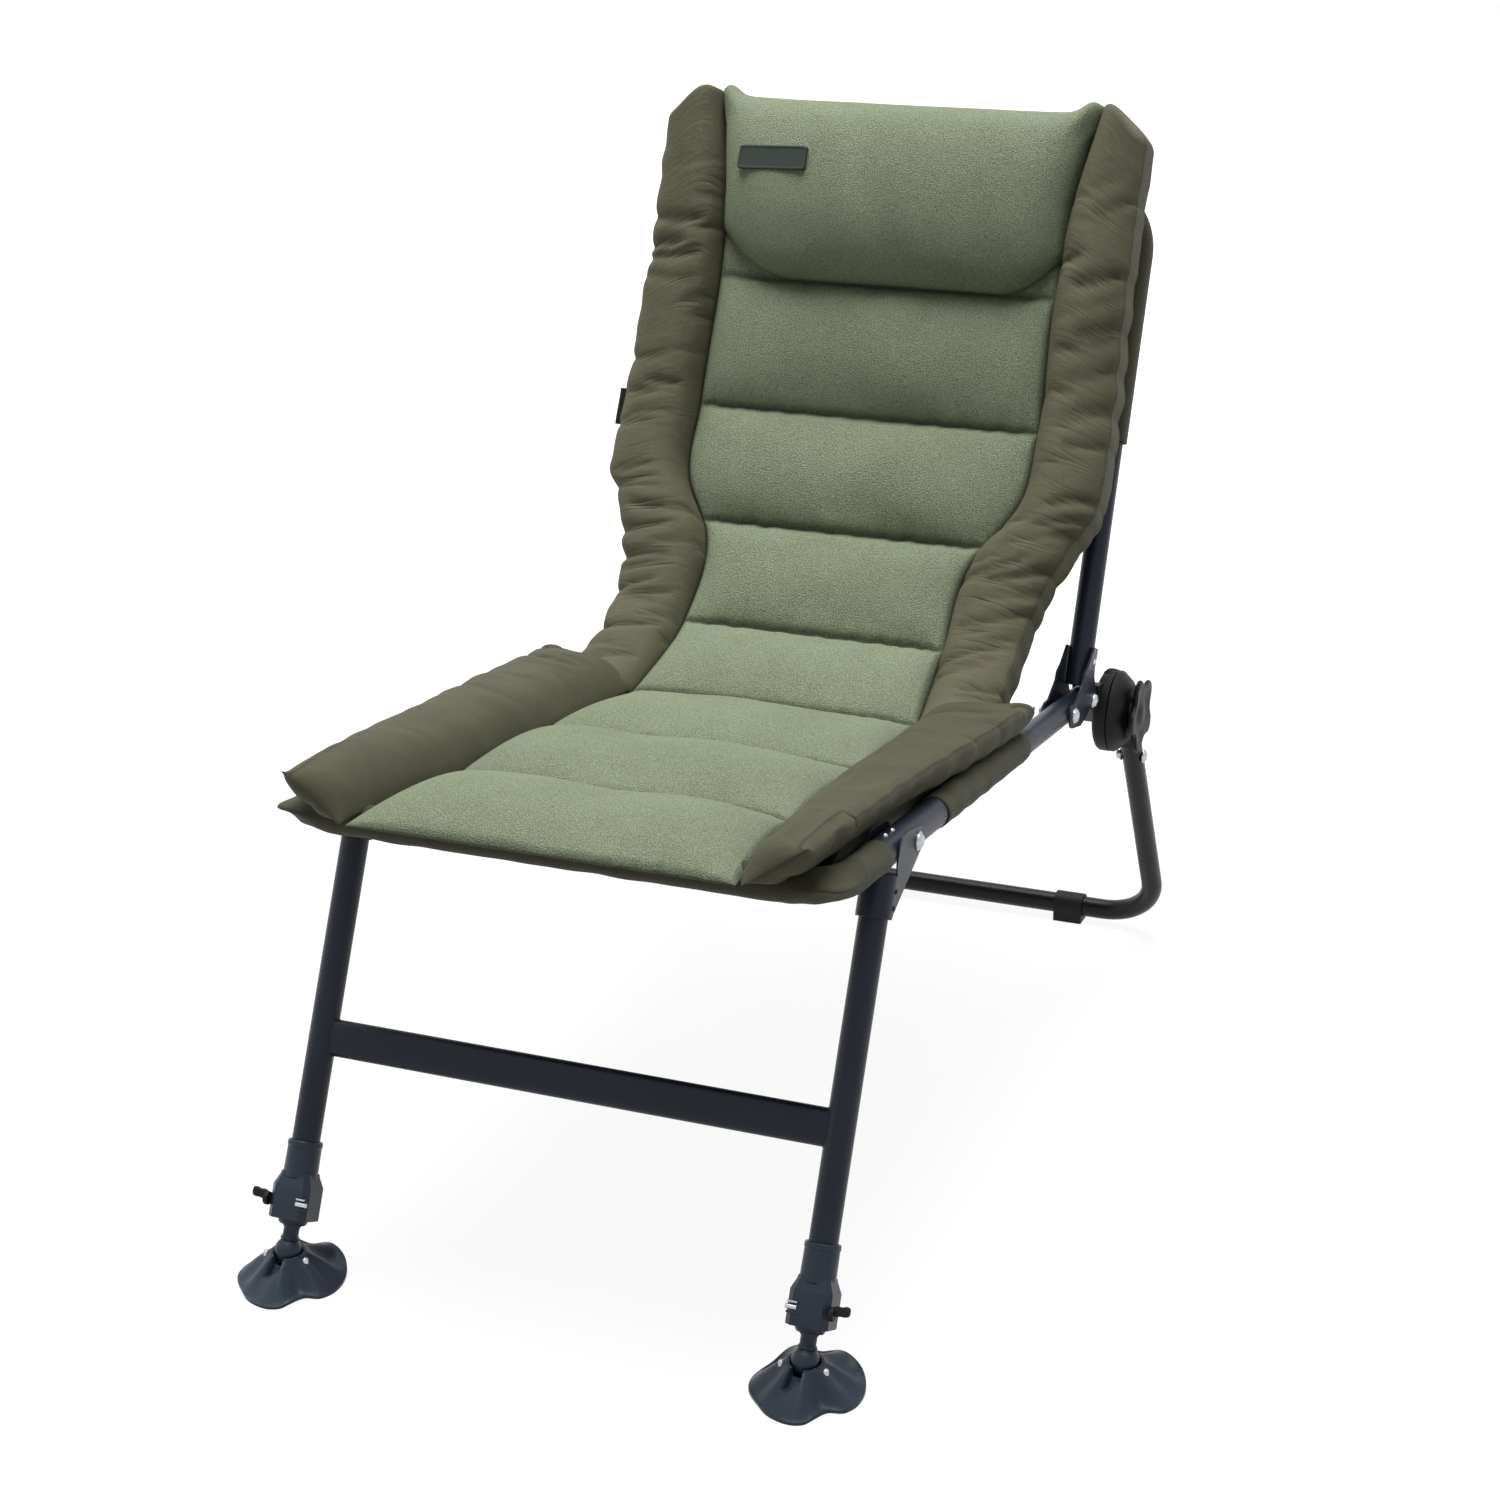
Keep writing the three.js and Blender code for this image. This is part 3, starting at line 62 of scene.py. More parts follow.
# Driving sizes of the chair, in millimetres and degrees
RAIL_X = 245
RAIL_RADIUS = 12.5
REAR_RADIUS = 11
TUBE_WALL = 1.3
INNER_LEG_RADIUS = 8.5
SLEEVE_RADIUS = 14.3
SEAT_TILT = 6.6
LEG_LEAN = 26.34
REAR_LEAN = 27.9
BACK_LEAN = 24
RAIL_LENGTH = 714
RAIL_BEND = 48
PIVOT_ALONG = 163.7
HINGE_ALONG = 634.2
END_BOLT_ALONG = 703
AXLE_ALONG = 757.6
AXLE_DROP = 22.1
LEG_OFFSET = 41.1
BACK_OFFSET = 51
BACK_TOP = 532
BACK_BEND = 62
REAR_X = 281
REAR_BEND = 62
SOLE_DROP = 17

TUBE_SIDES = 40
BEND_STEPS = 14

random = np.random.default_rng(11)


# Places

def tilted(degrees):
    """Turn about X as a 3 by 3 array."""
    turn = np.radians(degrees)
    c, s = np.cos(turn), np.sin(turn)
    return np.array([[1, 0, 0], [0, c, -s], [0, s, c]])


PIVOTS = {
    joint["name"]: np.array(joint["pos_m"]) for joint in frame["joints"] if "pos_m" in joint
}


def axes_at(origin, degrees, shift=(0, 0, 0)):
    """Axes turned about X whose own point shift lies at the origin given."""
    turn = tilted(degrees)
    return origin - turn @ np.array(shift, float) * MM, turn


LEG = axes_at(PIVOTS["front_legs_fold"], -LEG_LEAN)
SEAT = axes_at(PIVOTS["front_legs_fold"], -SEAT_TILT, (0, PIVOT_ALONG, 0))
BACK = axes_at(PIVOTS["backrest_fold"], -BACK_LEAN)
REAR = axes_at(PIVOTS["rear_leg_fold"], REAR_LEAN)
ROW = (np.zeros(3), np.eye(3))
ANKLE = axes_at(np.array([0, *PIVOTS["foot_l_pitch"][1:]]), 0)
LEG_SPAN = np.linalg.norm((PIVOTS["front_legs_fold"] - PIVOTS["foot_l_pitch"])[1:]) / MM
LEG_LENGTH = np.sqrt(LEG_SPAN ** 2 - LEG_OFFSET ** 2)
REAR_LENGTH = (PIVOTS["rear_leg_fold"][2] / MM - SOLE_DROP) / np.cos(np.radians(REAR_LEAN))


def in_frame(points, axes):
    """Points of a part's axes, in millimetres, as places in the frame in metres."""
    origin, turn = axes
    return origin + points @ turn.T * MM


# Surfaces: each is a pair of points and a list of arrays of faces

def grid(points, wrap_rows=False, wrap_columns=False):
    """Quads between neighbours of a grid of points, joined round where a side wraps."""
    rows, columns = points.shape[:2]
    i = np.arange(rows if wrap_rows else rows - 1)[:, None]
    j = np.arange(columns if wrap_columns else columns - 1)[None, :]
    i2, j2 = (i + 1) % rows, (j + 1) % columns
    quads = np.stack([i * columns + j, i * columns + j2, i2 * columns + j2, i2 * columns + j], -1)
    return points.reshape(-1, 3), [quads.reshape(-1, 4)]


def capped(points):
    """A grid that wraps round its columns, with a face over its first and its last row."""
    rows, columns = points.shape[:2]
    shell, faces = grid(points, wrap_columns=True)
    first = np.arange(columns)[None, ::-1]
    last = np.arange((rows - 1) * columns, rows * columns)[None, :]
    return shell, [*faces, first, last]


def moved(parts, shift):
    return [(points + shift, faces) for points, faces in parts]


def round_angles(count):
    return np.linspace(0, 2 * np.pi, count, endpoint=False)


def unit(vectors):
    return vectors / np.linalg.norm(vectors, axis=-1, keepdims=True)


def turned(profile, axis="z", sides=TUBE_SIDES, wave=None, closed=False, at=(0, 0, 0)):
    """A profile of radius, place and share of a wave, turned round an axis. The radius at an
    angle is the profile's own plus its share of the wave there."""
    profile = np.array([(*row, 0)[:3] for row in profile], float)
    angle = round_angles(sides)
    radius = profile[:, :1] + profile[:, 2:] * (np.zeros(sides) if wave is None else wave(angle))
    place = np.broadcast_to(profile[:, 1:2], radius.shape)
    ring = [radius * np.cos(angle), radius * np.sin(angle), place]
    order = {"z": (0, 1, 2), "x": (2, 0, 1), "y": (1, 2, 0)}[axis]
    points = np.stack([ring[k] for k in order], -1) + np.array(at, float)
    return grid(points, wrap_rows=closed, wrap_columns=True)


def prism(outline, low, high, axis="x"):
    """A flat outline carried along an axis. Its two values lie along the other two axes."""
    outline = np.array(outline, float)
    return capped(np.array([
        np.insert(outline, "xyz".index(axis), float(place), axis=1) for place in (low, high)
    ]))


def arc(centre, radius, start, end, steps=12):
    """Points on a circle from one angle to another, in degrees."""
    angle = np.radians(np.linspace(start, end, steps + 1))
    return [(centre[0] + radius * np.cos(a), centre[1] + radius * np.sin(a)) for a in angle]


def bent_path(corners, bend):
    """Places and headings along straight runs with round bends at the inner corners."""
    corners = np.array(corners, float)
    runs = unit(np.diff(corners, axis=0))
    turn = np.linspace(0, np.pi / 2, BEND_STEPS + 1)[:, None]
    places, headings = [corners[:1]], [runs[:1]]
    for corner, before, after in zip(corners[1:-1], runs[:-1], runs[1:]):
        back, on = bend * (1 - np.sin(turn)), bend * (1 - np.cos(turn))
        places.append(corner - back * before + on * after)
        headings.append(np.cos(turn) * before + np.sin(turn) * after)
    places.append(corners[-1:])
    headings.append(runs[-1:])
    return np.concatenate(places), np.concatenate(headings)


def swept(places, headings, normal, section):
    """A section of pairs, out from the path and along its normal, carried along a flat path."""
    normal = np.array(normal, float)
    out = np.cross(headings, normal)
    section = np.array(section, float)
    return places[:, None] + section[None, :, :1] * out[:, None] + section[None, :, 1:] * normal


def circle(radius, sides=TUBE_SIDES):
    angle = round_angles(sides)
    return np.stack([radius * np.cos(angle), radius * np.sin(angle)], -1)


def bent_tube(corners, bend, normal, radius):
    """A hollow tube: the outer wall along the path, then the bore back to the start."""
    places, headings = bent_path(corners, bend)
    outer = swept(places, headings, normal, circle(radius))
    bore = swept(places, headings, normal, circle(radius - TUBE_WALL))
    return grid(np.concatenate([outer, bore[::-1]]), wrap_rows=True, wrap_columns=True)


def straight_tube(radius, bore, low, high, at=(0, 0, 0), axis="z"):
    edge = 0.4
    profile = [
        (bore, low), (radius - edge, low), (radius, low + edge),
        (radius, high - edge), (radius - edge, high), (bore, high),
    ]
    return turned(profile, axis, closed=True, at=at)


def curve(knots, values, at):
    """Smooth curve through values at knots: cubic pieces that share slopes at the knots."""
    knots, values, at = (np.asarray(x, float) for x in (knots, values, at))
    flat = values.ndim == 1
    values = values[:, None] if flat else values
    slopes = np.gradient(values, knots, axis=0)
    i = np.clip(np.searchsorted(knots, at, side="right") - 1, 0, len(knots) - 2)
    span = (knots[i + 1] - knots[i])[..., None]
    t = np.clip((at - knots[i])[..., None] / span, 0, 1)
    start, end = values[i], values[i + 1]
    rise = (2 * t ** 3 - 3 * t ** 2 + 1) * start + (3 * t ** 2 - 2 * t ** 3) * end
    bend = (t ** 3 - 2 * t ** 2 + t) * span * slopes[i] + (t ** 3 - t ** 2) * span * slopes[i + 1]
    result = rise + bend
    return result[..., 0] if flat else result


def smooth_step(value, low, high):
    t = np.clip((value - low) / (high - low), 0, 1)
    return t * t * (3 - 2 * t)


def signed_power(value, power):
    return np.sign(value) * np.abs(value) ** power


def dense_at_ends(count, share):
    """Values from -1 to 1 that lie closer together towards both ends: a share of a quarter
    sine wave each way."""
    return np.sin(np.pi / 2 * np.linspace(-1, 1, count) * share) / np.sin(np.pi / 2 * share)


def eased(values, share):
    """Values of 0 to 1 partly drawn towards 0 and 1, by a share of half a cosine wave."""
    return (1 - share) * values + share * (0.5 - 0.5 * np.cos(np.pi * values))


# Pieces

materials = {}
SIDES = (("l", True), ("r", False))


def linked(name, data):
    """A new object in the scene."""
    obj = bpy.data.objects.new(name, data)
    bpy.context.scene.collection.objects.link(obj)
    return obj


def mesh_of(name, parts, axes, mirrored, uv=None, merge=True, marks=None):
    """One closed mesh of several surfaces, with doubles merged and faces pointing out. Marks
    are values or places kept with the points under a name."""
    points, faces, start = [], [], 0
    for part_points, part_faces in parts:
        points.append(part_points)
        for face_array in part_faces:
            faces.extend((face_array + start).tolist())
        start += len(part_points)
    points = np.concatenate(points)
    if mirrored:
        points = points * (-1, 1, 1)
    mesh = bpy.data.meshes.new(name)
    mesh.from_pydata(in_frame(points, axes).tolist(), [], faces)
    if uv is not None:
        layer = mesh.uv_layers.new(name="cloth")
        layer.uv.foreach_set("vector", uv.astype(np.float32).ravel())
    for label, values in (marks or {}).items():
        places = values.ndim == 3
        kept = mesh.attributes.new(label, "FLOAT_VECTOR" if places else "FLOAT", "POINT")
        kept.data.foreach_set("vector" if places else "value", values.astype(np.float32).ravel())
    if merge:
        tidy = bmesh.new()
        tidy.from_mesh(mesh)
        bmesh.ops.remove_doubles(tidy, verts=tidy.verts, dist=2e-6)
        bmesh.ops.dissolve_degenerate(tidy, edges=tidy.edges, dist=1e-7)
        bmesh.ops.recalc_face_normals(tidy, faces=tidy.faces)
        tidy.to_mesh(mesh)
        tidy.free()
    return mesh


def piece(name, parts, finish, body, replaces=(), axes=ROW, mirrored=False, bevel=0.0, sharp=38):
    """A hard piece that rides on a body, stands for CAD nodes and has one finish. Its edges
    are sharp from an angle in degrees, and rounded by a bevel in millimetres."""
    mesh = mesh_of(name, parts, axes, mirrored)
    mesh.shade_smooth()
    mesh.set_sharp_from_angle(angle=np.radians(sharp))
    mesh.materials.append(materials[finish])
    obj = linked(name, mesh)
    if bevel:
        rounding = obj.modifiers.new("edges", "BEVEL")
        rounding.width = bevel * MM
        rounding.segments = 2
        rounding.limit_method = "ANGLE"
        rounding.angle_limit = np.radians(sharp)
        rounding.harden_normals = True
    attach(obj, body)
    if replaces:
        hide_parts(*replaces)
    return obj


# Materials

VECTOR, NUMBER, COLOUR = "NodeSocketVector", "NodeSocketFloat", "NodeSocketColor"
WHITE, BLACK = (1.0, 1.0, 1.0, 1.0), (0.0, 0.0, 0.0, 1.0)


def connect(tree, node, inputs):
    """Fills a node's inputs by name or number: a socket is linked, anything else is set."""
    for label, value in inputs.items():
        if isinstance(value, bpy.types.NodeSocket):
            tree.links.new(value, node.inputs[label])
        else:
            node.inputs[label].default_value = value


def add_node(tree, kind, inputs=None, **settings):
    node = tree.nodes.new(kind)
    for key, value in settings.items():
        setattr(node, key, value)
    connect(tree, node, inputs or {})
    return node


def new_group(name, inputs, outputs):
    """An empty shader group with named sockets: returns its tree, its inputs and the node
    that takes its outputs."""
    tree = bpy.data.node_groups.new(name, "ShaderNodeTree")
    for label, kind, default in inputs:
        socket = tree.interface.new_socket(label, in_out="INPUT", socket_type=kind)
        if default is not None:
            socket.default_value = default
    for label, kind in outputs:
        tree.interface.new_socket(label, in_out="OUTPUT", socket_type=kind)
    start, end = tree.nodes.new("NodeGroupInput"), tree.nodes.new("NodeGroupOutput")
    return tree, start.outputs, end


def use_group(tree, group, inputs):
    return add_node(tree, "ShaderNodeGroup", inputs, node_tree=group).outputs


def math_node(tree, operation, *values):
    return add_node(tree, "ShaderNodeMath", dict(enumerate(values)), operation=operation).outputs[0]


def noise_node(tree, vector, scale, detail=3.0, roughness=0.55):
    inputs = {"Vector": vector, "Scale": scale, "Detail": detail, "Roughness": roughness}
    return add_node(tree, "ShaderNodeTexNoise", inputs).outputs["Fac"]


def range_node(tree, value, low, high, to_low=0.0, to_high=1.0, **settings):
    """A value brought from the range low to high into another one, and kept in it."""
    inputs = {
        "Value": value, "From Min": low, "From Max": high, "To Min": to_low, "To Max": to_high,
    }
    return add_node(tree, "ShaderNodeMapRange", inputs, clamp=True, **settings).outputs["Result"]


def colour_mix(tree, share, first, second, **settings):
    inputs = {0: share, 6: first, 7: second}
    return add_node(tree, "ShaderNodeMix", inputs, data_type="RGBA", **settings).outputs[2]


def darkened(tree, colour, amount, share):
    """A colour made darker by a share where the amount is one."""
    amount = math_node(tree, "MULTIPLY", amount, share)
    return colour_mix(tree, amount, colour, BLACK, blend_type="MULTIPLY")


def two_tone_group():
    """Two colours mixed by soft patches and by fine specks."""
    tree, given, end = new_group(
        "two_tone",
        [("Vector", VECTOR, None), ("Light", COLOUR, WHITE), ("Dark", COLOUR, BLACK),
         ("Patch Scale", NUMBER, 20.0), ("Speck Scale", NUMBER, 600.0),
         ("Speck Share", NUMBER, 0.5)],
        [("Color", COLOUR), ("Speck", NUMBER)],
    )
    patch = noise_node(tree, given["Vector"], given["Patch Scale"])
    speck = noise_node(tree, given["Vector"], given["Speck Scale"], 2.0)
    patch, speck = range_node(tree, patch, 0.35, 0.65), range_node(tree, speck, 0.36, 0.64)
    inputs = {0: given["Speck Share"], 2: patch, 3: speck}
    share = add_node(tree, "ShaderNodeMix", inputs, data_type="FLOAT").outputs[0]
    colour = colour_mix(tree, share, given["Dark"], given["Light"])
    connect(tree, end, {"Color": colour, "Speck": speck})
    return tree


def woven_group():
    """Height of plain-woven cloth: warp and weft threads as two sets of waves across each
    other, over soft crinkles."""
    tree, given, end = new_group(
        "woven_cloth",
        [("UV", VECTOR, None), ("Vector", VECTOR, None), ("Threads", NUMBER, 900.0),
         ("Crinkle Scale", NUMBER, 60.0), ("Crinkle Height", NUMBER, 9.0)],
        [("Height", NUMBER)],
    )
    split = add_node(tree, "ShaderNodeSeparateXYZ", {0: given["UV"]})
    phase = math_node(tree, "MULTIPLY", given["Threads"], 2 * np.pi)
    warp, weft = (
        math_node(tree, "SINE", math_node(tree, "MULTIPLY", split.outputs[axis], phase))
        for axis in ("X", "Y")
    )
    crinkle = noise_node(tree, given["Vector"], given["Crinkle Scale"], 3.0, 0.6)
    crinkle = math_node(tree, "MULTIPLY", crinkle, given["Crinkle Height"])
    weave = math_node(tree, "MULTIPLY", warp, weft)
    connect(tree, end, {"Height": math_node(tree, "ADD", weave, crinkle)})
    return tree


def gathers_and_shade_group():
    """Small gathers that run across the cloth, and painted shade deep in its creases: a darker
    colour there. The height is the ridges of a noise that is drawn out across the cloth, as high
    as the square root of the strength says and hardly there where it is nothing."""
    tree, given, end = new_group(
        "gathers",
        [("Color", COLOUR, WHITE), ("UV", VECTOR, None), ("Strength", NUMBER, 0.0),
         ("Darkening", NUMBER, 0.45)],
        [("Color", COLOUR), ("Height", NUMBER)],
    )
    stretched = add_node(
        tree, "ShaderNodeVectorMath", {0: given["UV"], 1: (14.0, 62.0, 1.0)}, operation="MULTIPLY",
    )
    noise = add_node(
        tree, "ShaderNodeTexNoise",
        {"Vector": stretched.outputs["Vector"], "Scale": 1.0, "Detail": 1.5, "Distortion": 0.7},
    )
    ridge = math_node(tree, "MULTIPLY_ADD", noise.outputs[0], 2.0, -1.0)
    ridge = math_node(tree, "MULTIPLY", math_node(tree, "ABSOLUTE", ridge), 2.2)
    ridge = math_node(tree, "POWER", math_node(tree, "MINIMUM", ridge, 1.0), 0.7)
    reach = math_node(tree, "MULTIPLY_ADD", math_node(tree, "SQRT", given["Strength"]), 20.0, 3.2)
    # Painted shade: the colour is darker by the crease strength times the darkening.
    colour = darkened(tree, given["Color"], given["Strength"], given["Darkening"])
    connect(tree, end, {"Color": colour, "Height": math_node(tree, "MULTIPLY", ridge, reach)})
    return tree


def stitch_and_shade_group():
    """Darker colour along a stitched line, for its thread and as painted shade in its groove, and
    its mask: one at the line, falling to nothing at a reach in metres from it."""
    tree, given, end = new_group(
        "stitch_line_and_shade",
        [("Color", COLOUR, WHITE), ("Distance", NUMBER, 1.0), ("Reach", NUMBER, 0.003),
         ("Darkening", NUMBER, 0.5)],
        [("Color", COLOUR), ("Mask", NUMBER)],
    )
    mask = range_node(
        tree, given["Distance"], 0.0, given["Reach"], 1.0, 0.0, interpolation_type="SMOOTHSTEP",
    )
    colour = darkened(tree, given["Color"], mask, given["Darkening"])
    connect(tree, end, {"Color": colour, "Mask": mask})
    return tree


def gloss_group():
    """Roughness that wanders in broad patches round the value given."""
    tree, given, end = new_group(
        "uneven_gloss",
        [("Vector", VECTOR, None), ("Roughness", NUMBER, 0.4), ("Scale", NUMBER, 35.0)],
        [("Roughness", NUMBER)],
    )
    least, most = (math_node(tree, "ADD", given["Roughness"], step) for step in (-0.06, 0.08))
    patch = noise_node(tree, given["Vector"], given["Scale"])
    connect(tree, end, {"Roughness": range_node(tree, patch, 0.0, 1.0, least, most)})
    return tree


def material(name):
    """A new material: returns its tree, its shader and the outputs of its coordinates."""
    made = bpy.data.materials.new(name)
    made.use_nodes = True
    materials[name] = made
    tree = made.node_tree
    return tree, tree.nodes["Principled BSDF"], add_node(tree, "ShaderNodeTexCoord").outputs


def linear(red, green, blue):
    """A screen colour of 0 to 255 as a linear colour."""
    share = np.array([red, green, blue]) / 255
    value = np.where(share <= 0.04045, share / 12.92, ((share + 0.055) / 1.055) ** 2.4)
    return (*value.tolist(), 1.0)


def bump(tree, height, distance, strength=1.0):
    inputs = {"Height": height, "Distance": distance, "Strength": strength}
    return add_node(tree, "ShaderNodeBump", inputs).outputs["Normal"]


def use_tone(tree, vector, light, dark, patch, speck, share):
    return use_group(tree, two_tone, {
        "Vector": vector, "Light": light, "Dark": dark,
        "Patch Scale": patch, "Speck Scale": speck, "Speck Share": share,
    })


def kept_value(tree, label):
    """A value kept with the mesh's points."""
    return add_node(tree, "ShaderNodeAttribute", attribute_name=label).outputs["Fac"]


def make_fleece():
    """Short curly pile: fine specks of light and dark curls over faint patches, with a sheen,
    pressed down and darker along its stitched lines, by thread and painted shade."""
    tree, shader, place = material("fleece")
    vector = place["Object"]
    tone = use_tone(tree, vector, linear(176, 186, 158), linear(122, 132, 105), 11.0, 880.0, 0.85)
    # Darker by up to 0.45 within 7 mm of a seam: stitch thread and painted shade in the groove.
    seam = use_group(tree, stitch_line_and_shade, {
        "Color": tone["Color"], "Distance": kept_value(tree, "seam"), "Reach": 0.007,
        "Darkening": 0.45,
    })
    curls = noise_node(tree, vector, 720.0, 2.5, 0.7)
    height = math_node(tree, "ADD", math_node(tree, "MULTIPLY", tone["Speck"], 0.35), curls)
    height = math_node(tree, "SUBTRACT", height, math_node(tree, "MULTIPLY", seam["Mask"], 0.8))
    connect(tree, shader, {
        "Base Color": seam["Color"], "Normal": bump(tree, height, 0.0022), "Roughness": 0.95,
        "Specular IOR Level": 0.1, "Sheen Weight": 0.12, "Sheen Roughness": 0.6,
        "Sheen Tint": linear(190, 205, 170),
    })


def make_cloth(name, light, dark, threads, roughness):
    """Woven nylon: a plain weave with a faint slub and crinkles, a stitched line sunk along
    its seams and darkened for its thread and by painted shade, and small gathers about its
    creases with painted shade deep in them. The sheets keep no distances to a seam, so the
    line's darkening, half as light, is theirs all over."""
    tree, shader, place = material(name)
    tone = use_tone(tree, place["Object"], light, dark, 14.0, 900.0, 0.3)
    # Darker near seams: stitch thread and painted shade in the groove.
    seam = use_group(tree, stitch_line_and_shade, {
        "Color": tone["Color"], "Distance": kept_value(tree, "seam"), "Reach": 0.003,
        "Darkening": 0.5,
    })
    # Darker deep in the creases: painted shade.
    folds = use_group(tree, gathers_and_crease_shade, {
        "Color": seam["Color"], "UV": place["UV"], "Strength": kept_value(tree, "crease"),
        "Darkening": 0.45,
    })
    weave = use_group(tree, woven_cloth, {
        "UV": place["UV"], "Vector": place["Object"], "Threads": threads,
    })
    slub = math_node(tree, "MULTIPLY", tone["Speck"], 0.7)
    sunk = math_node(tree, "MULTIPLY", seam["Mask"], 5.0)
    height = math_node(tree, "ADD", weave["Height"], slub)
    height = math_node(tree, "ADD", math_node(tree, "SUBTRACT", height, sunk), folds["Height"])
    connect(tree, shader, {
        "Base Color": folds["Color"], "Normal": bump(tree, height, 0.0002, 0.8),
        "Roughness": roughness, "Specular IOR Level": 0.25, "Sheen Weight": 0.03,
        "Sheen Roughness": 0.4,
    })


def make_paint(name, light, dark, roughness, grain, depth, metallic=0.0):
    """Painted, moulded or plated finish: fine grain in the surface, and an uneven gloss."""
    tree, shader, place = material(name)
    vector = place["Object"]
    tone = use_tone(tree, vector, light, dark, 9.0, grain, 0.25)
    gloss = use_group(tree, uneven_gloss, {"Vector": vector, "Roughness": roughness})
    connect(tree, shader, {
        "Base Color": tone["Color"], "Roughness": gloss["Roughness"], "Metallic": metallic,
        "Normal": bump(tree, tone["Speck"], depth, 0.35),
        "Specular IOR Level": 0.5 if metallic else 0.22,
    })


two_tone = two_tone_group()
woven_cloth = woven_group()
gathers_and_crease_shade = gathers_and_shade_group()
stitch_line_and_shade = stitch_and_shade_group()
uneven_gloss = gloss_group()

make_fleece()
# Cloths: name, light and dark colour, threads to the metre, roughness
for cloth in (
    ("bolster", linear(105, 103, 80), linear(90, 88, 66), 1100.0, 0.62),
    # The seat rolls' nylon is the bolsters' made darker: painted shade on the rolls' upward faces,
    # which the top lamp lights more.
    ("seat_roll", linear(89, 88, 67), linear(77, 76, 56), 1100.0, 0.62),
    ("sheet", linear(106, 104, 80), linear(88, 86, 63), 900.0, 0.6),
):
    make_cloth(*cloth)
# Paints: name, light and dark colour, roughness, scale of the grain, its depth in metres
for paint in (
    ("frame", linear(37, 46, 60), linear(27, 34, 46), 0.33, 2200.0, 0.00012),
    ("rear_frame", linear(20, 22, 26), linear(13, 15, 18), 0.3, 2200.0, 0.00012),
    ("plastic", linear(18, 18, 19), linear(11, 11, 12), 0.5, 1500.0, 0.0002),
    ("foot", linear(56, 68, 82), linear(43, 53, 66), 0.3, 1300.0, 0.0003),
    ("badge", linear(58, 66, 60), linear(48, 55, 50), 0.6, 1800.0, 0.0002),
    ("label", linear(26, 27, 29), linear(18, 19, 20), 0.8, 1800.0, 0.0002),
):
    make_paint(*paint)
make_paint("zinc", linear(205, 208, 212), linear(160, 163, 168), 0.3, 900.0, 0.0001, metallic=1.0)


# Hard pieces

GAP = 0.3
REAR_TUBE_TOP = -43.5
LEG_TOP = -35.0
BAR_UP = 191
BAR_HEIGHT = 33
BAR_THICK = 14
WELD_RADIUS = 1.3
COLLAR_TOP = -LEG_LENGTH + 98
BLOCK_TOP = COLLAR_TOP - 31
BLOCK_LOW = BLOCK_TOP - 39
BLOCK_HALF = 18.8
BLOCK_DEPTH = 17
BOSS_LOW = BLOCK_LOW - 5
SCREW_UP = BLOCK_LOW + 15
BRACKET_OUTER = 15.6
HINGE_OUTER = 15.3
BALL_RADIUS = 12.0
# Where the front sleeve of the seat's cloth ends and the side sleeve starts, along the rail
SLEEVE_GAP = (104, 249)


def make_tubes():
    """The three bent tubes. The back tube's ends clear the rails that they fold onto."""
    x, end = RAIL_X, RAIL_LENGTH
    rail = [(-x, end, 0), (-x, 0, 0), (x, 0, 0), (x, end, 0)]
    rake = np.radians(BACK_LEAN - SEAT_TILT)
    foot = (BACK_OFFSET + RAIL_RADIUS) * np.tan(rake) + RAIL_RADIUS / np.cos(rake) + GAP
    y, top = BACK_OFFSET, BACK_TOP
    back = [(-x, y, foot), (-x, y, top), (x, y, top), (x, y, foot)]
    x, top, low = REAR_X, REAR_TUBE_TOP, -REAR_LENGTH
    rear = [(-x, 0, top), (-x, 0, low), (x, 0, low), (x, 0, top)]
    rail = bent_tube(rail, RAIL_BEND, (0, 0, 1), RAIL_RADIUS)
    back = bent_tube(back, BACK_BEND, (0, 1, 0), RAIL_RADIUS)
    rear = bent_tube(rear, REAR_BEND, (0, 1, 0), REAR_RADIUS)
    piece("seat_rail", [rail], "frame", "seat", ["seat_frame"], SEAT)
    piece("back_tube", [back], "frame", "backrest", ["back_frame"], BACK)
    piece("rear_tube", [rear], "rear_frame", "rear_leg", ["rear_leg_frame"], REAR)


def stadium(height, thick, steps=10):
    """An upright bar section with round ends, as pairs across and up."""
    straight = (height - thick) / 2
    upper = arc((0, straight), thick / 2, 0, 180, steps)
    lower = arc((0, -straight), thick / 2, 180, 360, steps)
    return np.array(upper + lower)


def make_legs():
    """Front leg tubes and the crossbar, whose ends are cut round to the legs and welded."""
    bar_z = -LEG_LENGTH + BAR_UP
    section = stadium(BAR_HEIGHT, BAR_THICK)
    reach = RAIL_X - np.sqrt(RAIL_RADIUS ** 2 - section[:, 0] ** 2) + 0.4
    seam = np.stack([reach, section[:, 0] - LEG_OFFSET, section[:, 1] + bar_z], -1)
    bar = capped(np.array([seam * (-1, 1, 1), seam]))
    piece("front_crossbar", [bar], "frame", "front_legs", ["leg_crossbar"], LEG)
    out = unit(np.stack([0 * reach, section[:, 0], section[:, 1]], -1))
    side = np.cross(unit(np.roll(seam, -1, axis=0) - np.roll(seam, 1, axis=0)), out)
    bead = circle(WELD_RADIUS, 8)
    points = seam[:, None] + bead[None, :, :1] * out[:, None] + bead[None, :, 1:] * side[:, None]
    weld = grid(points, wrap_rows=True, wrap_columns=True)
    low, at = BLOCK_TOP + GAP, (RAIL_X, -LEG_OFFSET, 0)
    tube = straight_tube(RAIL_RADIUS, RAIL_RADIUS - TUBE_WALL, low, LEG_TOP, at)
    for tag, mirrored in SIDES:
        piece(f"front_leg_{tag}", [tube], "frame", "front_legs", [f"leg_tube_{tag}"], LEG, mirrored)
        piece(f"crossbar_weld_{tag}", [weld], "frame", "front_legs", (), LEG, mirrored)


